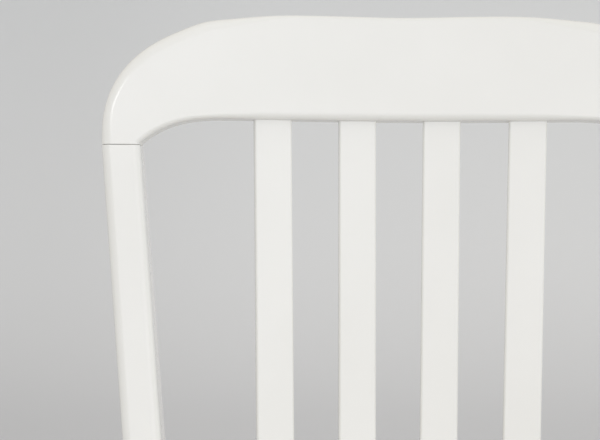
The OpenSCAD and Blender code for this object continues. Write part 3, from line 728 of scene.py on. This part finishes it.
def make_front_leg(side, node):
    """A front leg, tapered on its inner and rear faces, with close stations above the taper."""
    up = list(np.linspace(GLIDE_H, TAPER_Z, 12)) + [TAPER_Z + 12, TAPER_Z + 30, FRAME_H - 10, FRAME_H]

    def ring_at(k, shrink):
        z = up[k]
        s = front_side(z)
        return [(side * (FRONT_OUT - s / 2 + x), FRONT_FACE_Y + s / 2 + y, z)
                for x, y in section(s, s, even(FRONT_ROUND), shrink, 7, 4)]

    lacquer(node, eased(ring_at, len(up), (0, 0, -1), (0, 0, 1)))


# Straight rails and stretchers

def bar(start, end, cuts, w, h, r, steps=9):
    """Rings of a straight bar of rounded section along the line from start to end.

    cuts holds the plane that cuts each end, as a point and an outward normal."""
    start, end = np.array(start, float), np.array(end, float)
    axis = unit(end - start)
    across = unit(np.cross(axis, (0.0, 0.0, 1.0)))
    rise = np.cross(across, axis)
    cuts = [(np.array(p, float), np.array(n, float)) for p, n in cuts]

    def ring_at(k, shrink):
        ring = []
        for x, y in section(w, h, even(r), shrink, 6, 4):
            base = start + across * x + rise * y
            first, last = ((c - base).dot(n) / axis.dot(n) for c, n in cuts)
            ring.append(base + axis * (first + (last - first) * k / (steps - 1)))
        return ring

    return eased(ring_at, steps, -axis, axis, BAR_ARRIS)


RAIL_Z = FRAME_H - RAIL_H / 2
RAIL_SIZE = (RAIL_T, RAIL_H, RAIL_ROUND)
FRONT_RAIL_Y = FRONT_FACE_Y + RAIL_IN + RAIL_T / 2
REAR_RAIL_Y = REAR_Y + REAR_RAIL_BACK
FRONT_LEG_IN = FRONT_OUT - FRONT_S
REAR_LEG_IN = SEAT_X - LEG_W / 2
SIDE_FRONT_Y = FRONT_FACE_Y + FRONT_S
SIDE_REAR_Y = REAR_Y - LEG_SEAT_D / 2
SIDE_FRONT_X = FRONT_OUT - RAIL_IN - RAIL_T / 2
SIDE_REAR_X = SEAT_X + LEG_W / 2 - RAIL_IN - RAIL_T / 2


def make_seat_rails():
    """The four rails under the seat."""
    for node, half, y in (("front_seat_rail", FRONT_LEG_IN - SEAT_GAP, FRONT_RAIL_Y),
                          ("rear_seat_rail", REAR_LEG_IN - SEAT_GAP, REAR_RAIL_Y)):
        left, right = (-half, y, RAIL_Z), (half, y, RAIL_Z)
        lacquer(node, bar(left, right, ((left, (-1, 0, 0)), (right, (1, 0, 0))), *RAIL_SIZE))
    cuts = (((0, SIDE_FRONT_Y + SEAT_GAP, 0), (0, -1, 0)), ((0, SIDE_REAR_Y - SEAT_GAP, 0), (0, 1, 0)))
    for side, word in SIDES:
        front = (side * SIDE_FRONT_X, SIDE_FRONT_Y, RAIL_Z)
        rear = (side * SIDE_REAR_X, SIDE_REAR_Y, RAIL_Z)
        lacquer(f"side_seat_rail_{word}", bar(front, rear, cuts, *RAIL_SIZE))


def rear_leg_front(z):
    """Place of a rear leg's front face at height z, below the seat."""
    return leg_y(z) - leg_d(z) / 2 / math.cos(LEG_RAKE)


STRETCH_FRONT_X = FRONT_OUT - front_side(STRETCH_Z) / 2
STRETCH_REAR_X = leg_x(STRETCH_Z)
STRETCH_FRONT_Y = FRONT_FACE_Y + front_side(STRETCH_Z)
STRETCH_REAR_Y = rear_leg_front(STRETCH_Z)


def make_stretchers():
    """The two side stretchers and the cross stretcher between them."""
    taper = (FRONT_S - FRONT_FOOT_S) / TAPER_Z
    near = 10.0  # The slope of a rear leg's front face is taken over this much up and down
    slope = (rear_leg_front(STRETCH_Z + near) - rear_leg_front(STRETCH_Z - near)) / (2 * near)
    front_normal = np.array([0.0, -1.0, taper]) / math.hypot(1, taper)
    rear_normal = np.array([0.0, 1.0, -slope]) / math.hypot(1, slope)
    cuts = (((0, STRETCH_FRONT_Y + SEAT_GAP, STRETCH_Z), front_normal),
            ((0, STRETCH_REAR_Y - SEAT_GAP, STRETCH_Z), rear_normal))
    for side, word in SIDES:
        front = (side * STRETCH_FRONT_X, STRETCH_FRONT_Y, STRETCH_Z)
        rear = (side * STRETCH_REAR_X, STRETCH_REAR_Y, STRETCH_Z)
        lacquer(f"side_stretcher_{word}",
                bar(front, rear, cuts, STRETCH_T, STRETCH_H, STRETCH_ROUND))
    mid_y = (STRETCH_FRONT_Y + STRETCH_REAR_Y) / 2
    turn = math.atan((STRETCH_FRONT_X - STRETCH_REAR_X) / (STRETCH_REAR_Y - STRETCH_FRONT_Y))
    half = (STRETCH_FRONT_X + STRETCH_REAR_X) / 2 - STRETCH_T / 2 / math.cos(turn) - SEAT_GAP
    left, right = (-half, mid_y, STRETCH_Z), (half, mid_y, STRETCH_Z)
    cuts = ((left, (-math.cos(turn), math.sin(turn), 0)), (right, (math.cos(turn), math.sin(turn), 0)))
    lacquer("cross_stretcher", bar(left, right, cuts, CROSS_T, STRETCH_H, STRETCH_ROUND))


make_crest()
for leg_side, side_word in SIDES:
    make_rear_leg(leg_side, "rear_leg_" + side_word)
for slat_number in range(SLATS):
    make_slat(slat_number)
make_lower_rail()
for leg_side, side_word in SIDES:
    make_front_leg(leg_side, "front_leg_" + side_word)
make_seat_rails()
make_stretchers()


# Seat cushion: foam and woven cover, pulled over the board and turned under it

PAD_CLEAR = 4.0
PAD_FRONT_Y = FRONT_FACE_Y - PAD_OVER
PAD_FRONT_X = FRONT_OUT + PAD_OVER
PAD_REAR_X = SEAT_X + LEG_W / 2 + PAD_OVER
PAD_NOTCH_Y = SIDE_REAR_Y - PAD_CLEAR
PAD_TAIL_X = REAR_LEG_IN - PAD_CLEAR
PAD_TAIL_Y = REAR_RAIL_Y + RAIL_T / 2
PAD_MID_Y = (PAD_FRONT_Y + PAD_TAIL_Y) / 2
PAD_EDGE = PAD_H - PAD_CROWN
# Corners of the right half from the front: place and radius, below 0 where the outline turns back
PAD_CORNERS = ((PAD_FRONT_X, PAD_FRONT_Y, 30), (PAD_REAR_X, PAD_NOTCH_Y, 14),
               (PAD_TAIL_X, PAD_NOTCH_Y, -7), (PAD_TAIL_X, PAD_TAIL_Y, 12))
CORNER_STEPS = 12
# Shares of the outline and of the side's height, from the foot up, then shares over the crown
SIDE_RINGS = ((0.978, 0.0), (0.99, 0.1), (0.998, 0.3), (1.0, 0.53), (0.993, 0.8), (0.974, 1.0))
CROWN_SHARES = (0.95, 0.92, 0.87, 0.8, 0.71, 0.62, 0.5, 0.38, 0.24, 0.1)
# The pad starts a little small and flat, because it swells, but never by more than the last value
UNSWOLLEN = 0.985
UNSWOLLEN_CROWN = PAD_CROWN - 1.5
SWELL_MOST = 6.0
SWELL_FRAMES = 20
PAD_VOXEL = 5.0
# Height up to which the foot is held, and over which the hold fades
HELD_TO = 5.0
HELD_FADE = 8.0

# Reach of the gathers from each corner, their number to a radian and their depth
GATHER_REACH = (58, 32, 25, 30)
GATHER_TURNS = 21
GATHER_DEPTH = 1.1
# Slow waves along the sides: radians to the millimetre across and along, and depth
WAVE_X, WAVE_Y = 0.115, 0.083
WAVE_DEPTH = 0.4
# The sides' breadth, how far they are drawn in at the foot, and how far anything may stand out
SIDE_REACH = 26.0
FOOT_DRAWN = 0.8
OUT_MOST = 1.5

# The board inside, the cover's distance from it, and how far inside the outline this is seen to
BOARD_T = 12.0
BOARD_SHARE = 0.965
BOARD_CLEAR = 0.3
BESIDE_BOARD = 16.0

# Height of the level cut at the foot, and the way on from it: share of the outline and height
FOOT_CUT = 1.8
FOOT_SHARE = 0.975
LIP_SHARE = 0.72
INNER_SHARE = 0.962
LIP_TOP = COVER_T * 0.9
HOLLOW_TOP = COVER_T + BOARD_T + 0.5
UNDER_PROFILE = ((0.973, 0.9), (0.969, 0.25), (0.963, 0.0), (0.9, 0.0), (0.8, 0.0), (LIP_SHARE, 0.0),
                 (LIP_SHARE, LIP_TOP), (0.85, LIP_TOP), (INNER_SHARE, LIP_TOP),
                 (INNER_SHARE, HOLLOW_TOP), (0.5, HOLLOW_TOP))


def pad_outline(spacing=4.0):
    """The seat's outline seen from above, as points about spacing apart."""
    corners = [np.array(c[:2], float) for c in PAD_CORNERS]
    radii = [c[2] for c in PAD_CORNERS]
    half = []
    for i, (corner, radius) in enumerate(zip(corners, radii)):
        before = corners[i - 1] if i else np.array((0.0, PAD_FRONT_Y))
        after = corners[i + 1] if i < 3 else np.array((0.0, PAD_TAIL_Y))
        p, q = unit(before - corner), unit(after - corner)
        wedge = math.acos(p.dot(q)) / 2
        centre = corner + unit(p + q) * abs(radius) / math.sin(wedge)
        start = corner + p * abs(radius) / math.tan(wedge) - centre
        turn = math.copysign(math.pi - 2 * wedge, radius)
        for k in range(CORNER_STEPS + 1):
            a = turn * k / CORNER_STEPS
            half.append(centre + np.array((start[0] * math.cos(a) - start[1] * math.sin(a),
                                           start[0] * math.sin(a) + start[1] * math.cos(a))))
    rough = [np.array((0.0, PAD_FRONT_Y))] + half + [np.array((0.0, PAD_TAIL_Y))]
    rough += [p * (-1, 1) for p in half[::-1]]
    loop = np.array(rough + rough[:1])
    steps = np.r_[0, np.cumsum(np.linalg.norm(np.diff(loop, axis=0), axis=1))]
    places = np.linspace(0, steps[-1], int(steps[-1] / spacing), endpoint=False)
    return np.stack([np.interp(places, steps, loop[:, k]) for k in (0, 1)], axis=1)


def drawn_in(outline, share):
    """The outline drawn in towards the seat's middle."""
    middle = np.array((0.0, PAD_MID_Y))
    return middle + (outline - middle) * share


def closed_pad(outline, rings):
    """A closed mesh through outlines at (share, height) pairs, in millimetres."""
    bm = bmesh.new()
    rows = [[bm.verts.new((x * MM, y * MM, height * MM)) for x, y in drawn_in(outline, share)]
            for share, height in rings]
    n = len(outline)
    for low, high in zip(rows, rows[1:]):
        bridge(bm, low, high)
    for row in (rows[0][::-1], rows[-1]):
        middle = bm.verts.new(sum((v.co for v in row), Vector()) / n)
        for i in range(n):
            bm.faces.new((row[i], row[(i + 1) % n], middle))
    return bm


def swell(obj):
    """Lets the pad swell by a cloth simulation, held at its foot, and keeps the result."""
    remesh = obj.modifiers.new("remesh", "REMESH")
    remesh.mode = "VOXEL"
    remesh.voxel_size = PAD_VOXEL * MM
    bpy.context.view_layer.objects.active = obj
    obj.select_set(True)
    bpy.ops.object.modifier_apply(modifier="remesh")
    held = obj.vertex_groups.new(name="held")
    for v in obj.data.vertices:
        rise = (v.co.z / MM - FRAME_H - HELD_TO) / HELD_FADE
        held.add([v.index], min(1.0, max(0.0, 1.0 - rise)), "REPLACE")
    cloth = obj.modifiers.new("cloth", "CLOTH")
    settings = cloth.settings
    settings.quality = 6
    settings.mass = 0.3
    settings.tension_stiffness = 22
    settings.compression_stiffness = 22
    settings.shear_stiffness = 8
    settings.bending_stiffness = 2
    settings.use_pressure = True
    settings.uniform_pressure_force = 4
    settings.vertex_group_mass = "held"
    settings.effector_weights.gravity = 0
    cloth.point_cache.frame_start = 1
    cloth.point_cache.frame_end = SWELL_FRAMES
    for step in range(SWELL_FRAMES):
        bpy.context.scene.frame_set(step + 1)
    shaped = obj.evaluated_get(bpy.context.evaluated_depsgraph_get())
    moved = [v.co.copy() for v in shaped.data.vertices]
    obj.modifiers.remove(cloth)
    bpy.context.scene.frame_set(1)
    cap = SWELL_MOST * MM
    for v, after in zip(obj.data.vertices, moved):
        way = after - v.co
        if way.length > cap:
            way *= cap / way.length
        v.co = v.co + way
    obj.vertex_groups.clear()


def outward_of(outline):
    """Outward direction of the outline at each of its points."""
    ahead = np.roll(outline, -1, axis=0) - np.roll(outline, 1, axis=0)
    ahead /= np.linalg.norm(ahead, axis=1)[:, None]
    return np.stack([ahead[:, 1], -ahead[:, 0]], axis=1)


def corner_gather(places):
    """How strongly the cover is gathered near the seat's corners, 0 to 1, and the angle there."""
    best, angle = np.zeros(len(places)), np.zeros(len(places))
    for (cx, cy, radius), reach in zip(PAD_CORNERS, GATHER_REACH):
        for side in (-1, 1):
            toward = 1 if cy < 0 else -1
            way = places - (side * (cx - abs(radius) * 0.7), cy + toward * abs(radius) * 0.7)
            near = np.maximum(0.0, 1 - np.linalg.norm(way, axis=1) / reach)
            nearer = near > best
            best[nearer] = near[nearer]
            angle[nearer] = np.arctan2(way[:, 1], way[:, 0])[nearer]
    return best, angle


def nearest_on(outline, places):
    """Index of the outline's nearest point to each place."""
    return np.array([int(np.argmin(((outline - p) ** 2).sum(1))) for p in places])


def drape(bm, outline):
    """Gathers the cover at the corners, waves it along the sides and keeps it off the board."""
    outward = outward_of(outline)
    points = np.array([v.co for v in bm.verts]) / MM
    places, rise = points[:, :2], points[:, 2] - FRAME_H
    near = nearest_on(outline, places)
    inside = ((outline[near] - places) * outward[near]).sum(1)
    side = np.clip(1 - np.maximum(0.0, inside) / SIDE_REACH, 0, 1)
    low = np.clip(1 - rise / (PAD_EDGE * 0.95), 0, 1)
    gather, angle = corner_gather(places)
    ripple = np.sin(angle * GATHER_TURNS) * gather * side * (0.25 + 0.75 * low) * GATHER_DEPTH
    wave = np.sin(places[:, 0] * WAVE_X + places[:, 1] * WAVE_Y) * side * low * WAVE_DEPTH
    shift = ripple + wave - side * low ** 2 * FOOT_DRAWN
    shift -= np.maximum(0.0, shift - inside - OUT_MOST)
    # Around the board the cover stays outside the board's edge
    board_edge = ((outline - (0.0, PAD_MID_Y)) * outward).sum(1)[near] * (1 - BOARD_SHARE)
    deepest = board_edge - COVER_T - BOARD_CLEAR + np.maximum(0.0, rise - COVER_T - BOARD_T)
    beside = (rise < PAD_EDGE * 0.8) & (inside < BESIDE_BOARD)
    shift = np.where(beside, np.maximum(shift, inside - deepest), shift)
    for v, way in zip(bm.verts, outward[near] * shift[:, None] * MM):
        v.co.x += way[0]
        v.co.y += way[1]


def foot_loop(bm):
    """Cuts the cover level at its foot and gives the points round the cut, in order."""
    cut = bmesh.ops.bisect_plane(bm, geom=bm.verts[:] + bm.edges[:] + bm.faces[:],
                                 plane_co=(0, 0, (FRAME_H + FOOT_CUT) * MM), plane_no=(0, 0, 1),
                                 clear_inner=True)
    edges = [e for e in cut["geom_cut"] if isinstance(e, bmesh.types.BMEdge)]
    links = {}
    for e in edges:
        for v in e.verts:
            links.setdefault(v, []).append(e.other_vert(v))
    loop = [edges[0].verts[0], edges[0].verts[1]]
    while True:
        following = [v for v in links[loop[-1]] if v is not loop[-2]]
        if not following or following[0] is loop[0]:
            return loop
        loop.append(following[0])


def turn_under(bm, loop):
    """Takes the cover on from its foot, under the board to its lip, and back round the board."""
    middle = Vector((0, PAD_MID_Y * MM, 0))
    previous = loop
    for share, rise in UNDER_PROFILE:
        row = []
        for v in loop:
            flat = Vector((v.co.x, v.co.y, 0))
            spot = middle + (flat - middle) * (share / FOOT_SHARE)
            row.append(bm.verts.new((spot.x, spot.y, (FRAME_H + rise) * MM)))
        bridge(bm, previous, row)
        previous = row
    bm.faces.new(previous)


def map_cloth(bm, outline):
    """Lays the cloth's UV map on the cover, in metres, unrolled outwards at its sides."""
    layer = bm.loops.layers.uv.new("cloth")
    bm.verts.index_update()
    points = np.array([v.co for v in bm.verts]) / MM
    near = nearest_on(outline, points[:, :2])
    drop = np.maximum(0.0, PAD_EDGE + FRAME_H - points[:, 2])
    spots = (points[:, :2] + outward_of(outline)[near] * drop[:, None]) * MM
    for face in bm.faces:
        face.smooth = True
        for corner in face.loops:
            corner[layer].uv = spots[corner.vert.index]


def make_cushion():
    """The cushion: swollen by simulation, then gathered at its corners and turned under."""
    outline = pad_outline()
    rings = [(share * UNSWOLLEN, FRAME_H + rise * PAD_EDGE) for share, rise in SIDE_RINGS]
    rings += [(share * UNSWOLLEN, FRAME_H + PAD_EDGE + UNSWOLLEN_CROWN * (1 - share ** 3))
              for share in CROWN_SHARES]
    obj = new_object("seat_cushion", closed_pad(outline, rings))
    swell(obj)
    bm = bmesh.new()
    bm.from_mesh(obj.data)
    bmesh.ops.subdivide_edges(bm, edges=bm.edges, cuts=1, use_grid_fill=True, smooth=0.6)
    drape(bm, outline)
    turn_under(bm, foot_loop(bm))
    bmesh.ops.recalc_face_normals(bm, faces=bm.faces)
    map_cloth(bm, outline)
    bm.to_mesh(obj.data)
    bm.free()
    finish_piece(obj, ["seat_cover", "seat_foam"], cover_cloth)


# Dust cover: thin cloth under the seat

DUST_T = 0.6
DUST_IN = 4.0
DUST_SAG = 1.6
# Depth of its shallow creases, and their two waves in radians to the millimetre across and along
DUST_CREASE = 0.25
DUST_WAVES = ((0.07, 0.02), (-0.03, 0.09))
DUST_STEPS = 48


def make_dust_cover():
    """The thin cloth under the seat, stretched inside the rails and sagging a little."""
    near = FRONT_RAIL_Y + RAIL_T / 2 + DUST_IN
    far = REAR_RAIL_Y - RAIL_T / 2 - DUST_IN
    near_x, far_x = FRONT_LEG_IN - DUST_IN, REAR_LEG_IN - DUST_IN
    bm = bmesh.new()

    def point(i, j, height):
        s, t = -1 + 2 * i / DUST_STEPS, j / DUST_STEPS
        x = s * (near_x + (far_x - near_x) * t)
        y = near + (far - near) * t
        belly = (1 - s ** 4) * (1 - (2 * t - 1) ** 4)
        crease = math.prod(math.sin(x * a + y * b) for a, b in DUST_WAVES) * DUST_CREASE
        return bm.verts.new((x * MM, y * MM, (height - belly * (DUST_SAG + crease)) * MM))

    span = range(DUST_STEPS + 1)
    low, high = ([[point(i, j, height) for i in span] for j in span]
                 for height in (FRAME_H - DUST_T, FRAME_H))
    strips = [pair for grid in (low, high) for pair in zip(grid, grid[1:])]
    strips += [(low[0], high[0]), (low[-1], high[-1])]
    strips += [([row[end] for row in low], [row[end] for row in high]) for end in (0, -1)]
    for a, b in strips:
        for i in range(DUST_STEPS):
            bm.faces.new((a[i], a[i + 1], b[i + 1], b[i]))
    obj = new_object("dust_cover_cloth", bm)
    finish_piece(obj, ["seat_dust_cover"], dust_cloth)


make_cushion()
make_dust_cover()


# Materials of the pieces that are shown as constructed

NODE_MATERIALS = {"crest_dowels": beech, "seat_board": plywood, "corner_block_screws": zinc,
                  "seat_screws": zinc, "glide_nails": zinc}
for end_word in ("front", "rear"):
    for _, side_word in SIDES:
        NODE_MATERIALS[f"corner_block_{end_word}_{side_word}"] = beech
        NODE_MATERIALS[f"glide_{end_word}_{side_word}"] = plastic
for node_name, material in NODE_MATERIALS.items():
    node_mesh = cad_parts[node_name].data
    node_mesh.materials.clear()
    node_mesh.materials.append(material)


# Room: a pale floor that curves up into a backdrop

PAPER = (0.73, 0.737, 0.758)
# Painted shade on the paper, darker towards the front and the left where light falls off: stretch in
# metres over which it changes, along the depth and from the left, and the share of the paper's colour at
# its two ends
PAPER_SHADE_DEPTH = (1.4, 2.9, 0.82, 1.0)
PAPER_SHADE_SIDE = (-0.9, -0.1, 0.94, 1.0)
SWEEP_HALF_WIDTH = 6.0
SWEEP_FRONT_Y = -4.0
SWEEP_WALL_Y = 3.4
SWEEP_RADIUS = 1.4
SWEEP_TOP = 5.0
SWEEP_STEPS = 24


def make_room():
    """One sweep of paper: floor, curve and wall."""
    profile = [(SWEEP_FRONT_Y, 0.0)]
    for i in range(SWEEP_STEPS + 1):
        a = math.pi / 2 * i / SWEEP_STEPS
        profile.append((SWEEP_WALL_Y - SWEEP_RADIUS * (1 - math.sin(a)),
                        SWEEP_RADIUS * (1 - math.cos(a))))
    profile.append((SWEEP_WALL_Y, SWEEP_TOP))
    bm = bmesh.new()
    rows = [[bm.verts.new((x, y, z)) for x in (-SWEEP_HALF_WIDTH, SWEEP_HALF_WIDTH)]
            for y, z in profile]
    for a, b in zip(rows, rows[1:]):
        bm.faces.new((a[0], a[1], b[1], b[0]))
    sweep = new_object("sweep", bm)
    mat, tree = new_material("sweep_paper")
    split = split_of(tree, place_of(tree))
    # Painted shade: the paper's colour is darkened towards the front and the left, standing in for light
    # that falls off
    depth = range_of(tree, split["Y"], *PAPER_SHADE_DEPTH, kind="SMOOTHSTEP")
    side = range_of(tree, split["X"], *PAPER_SHADE_SIDE, kind="SMOOTHSTEP")
    painted_shade_tone = scaled(tree, PAPER, maths(tree, "MULTIPLY", depth, side))
    sweep.data.materials.append(shaded(mat, {"Base Color": painted_shade_tone, "Roughness": 0.9}))


make_room()


# Lamps: name, place, target, size, power, and where they aren't plain, colour and mirroring

def area_light(name, place, target, size, power, colour=(1, 1, 1), mirrored=True):
    """A rectangular soft light at a place, aimed at a target, that shows in gloss if mirrored."""
    data = bpy.data.lights.new(name, "AREA")
    data.shape = "RECTANGLE"
    data.size, data.size_y = size
    data.energy = power
    data.color = colour
    lamp = bpy.data.objects.new(name, data)
    lamp.location = place
    lamp.rotation_euler = (Vector(target) - Vector(place)).to_track_quat("-Z", "Y").to_euler()
    lamp.visible_glossy = mirrored
    bpy.context.scene.collection.objects.link(lamp)


LAMPS = (
    ("front_soft", (0.1, -3.2, 1.22), (0, 0.2, 0.8), (3.2, 2.1), 28, (0.87, 0.87, 1.0)),
    ("window_left", (-1.157, -2.437, 1.851), (-0.19, 0.22, 0.85), (0.78, 0.26), 7.4),
    ("bounce_right", (3.5, -0.7, 0.75), (-0.2, 0.2, 0.85), (2.6, 0.9), 31, (0.84, 0.78, 0.58), False),
)
for lamp in LAMPS:
    area_light(*lamp)

# Light of the room by direction, as colours
LIGHT_LEFT, LIGHT_RIGHT = (0.6, 0.62, 0.66), (0.4, 0.62, 0.96)
LIGHT_FRONT, LIGHT_BEHIND = (0.76, 0.76, 0.67), (0.3, 0.1, 0.1)
LIGHT_BELOW, LIGHT_ABOVE = (0.1, 0.1, 0.1), (1.04, 0.96, 0.84)
# Light from the right and a little behind: its direction, its narrowness and its strength
RIM_WAY = (0.94, 0.34, 0.0)
RIM_POWER = 4.0
RIM_LIGHT = (0.6, 0.36, 0.24)
# Tone of the room where it shows, straight, through glass or in gloss
ROOM_TONE = 0.62
# Half the breadth of the change from one side's light to the other's
SIDE_CHANGE = 0.05


def make_world():
    """Soft light from all round, of its own colour on each side."""
    world = bpy.data.worlds.new("room_light")
    world.use_nodes = True
    tree = world.node_tree
    place = add(tree, "ShaderNodeTexCoord").outputs["Generated"]
    split = split_of(tree, place)
    facing = add(tree, "ShaderNodeVectorMath", {0: place, 1: RIM_WAY}, operation="DOT_PRODUCT")
    ahead = maths(tree, "MAXIMUM", facing.outputs["Value"], 0.0)
    total = scaled(tree, RIM_LIGHT, maths(tree, "POWER", ahead, RIM_POWER))
    sides = (("X", LIGHT_LEFT, LIGHT_RIGHT), ("Y", LIGHT_FRONT, LIGHT_BEHIND),
             ("Z", LIGHT_BELOW, LIGHT_ABOVE))
    for axis, low, high in sides:
        tint = mixed(tree, "VECTOR", range_of(tree, split[axis], -SIDE_CHANGE, SIDE_CHANGE), low, high)
        part = scaled(tree, tint, maths(tree, "MULTIPLY", split[axis], split[axis]))
        total = add(tree, "ShaderNodeVectorMath", {0: total, 1: part}, operation="ADD").outputs[0]
    path = add(tree, "ShaderNodeLightPath").outputs
    seen = path["Is Camera Ray"]
    for name in ("Is Glossy Ray", "Is Transmission Ray"):
        seen = maths(tree, "MAXIMUM", seen, path[name])
    colour = mixed(tree, "RGBA", seen, total, (ROOM_TONE, ROOM_TONE, ROOM_TONE, 1))
    ground = next(n for n in tree.nodes if n.type == "BACKGROUND")
    feed(tree, ground, {"Color": colour, "Strength": 1.0})
    bpy.context.scene.world = world


make_world()
bpy.context.scene.view_settings.view_transform = "Standard"


# Camera: nearly square to the back, from in front of its left half, placed in the back's frame

EYE = (-71.55, -73.06, -853.0)
ROLL = math.radians(0.312)
TURN = math.radians(-0.109)


def make_camera():
    """The camera at the photograph's distance, with its slight roll and turn."""
    right = (math.cos(ROLL) * math.cos(TURN), math.sin(ROLL), -math.cos(ROLL) * math.sin(TURN))
    up = (-math.sin(ROLL) * math.cos(TURN), math.cos(ROLL), math.sin(ROLL) * math.sin(TURN))
    ahead = (math.sin(TURN), 0.0, math.cos(TURN))

    def direction(d):
        return Vector(on_back(*d)) - Vector(on_back(0, 0, 0))

    rows = [direction(right), direction(up), -direction(ahead)]
    matrix = Matrix(rows).transposed().to_4x4()
    matrix.translation = Vector(on_back(*EYE)) * MM
    data = bpy.data.cameras.new("camera")
    data.sensor_width = 36.0
    data.lens = 70.0
    data.clip_end = 50.0
    camera = bpy.data.objects.new("camera", data)
    camera.matrix_world = matrix
    bpy.context.scene.collection.objects.link(camera)
    bpy.context.scene.camera = camera


make_camera()
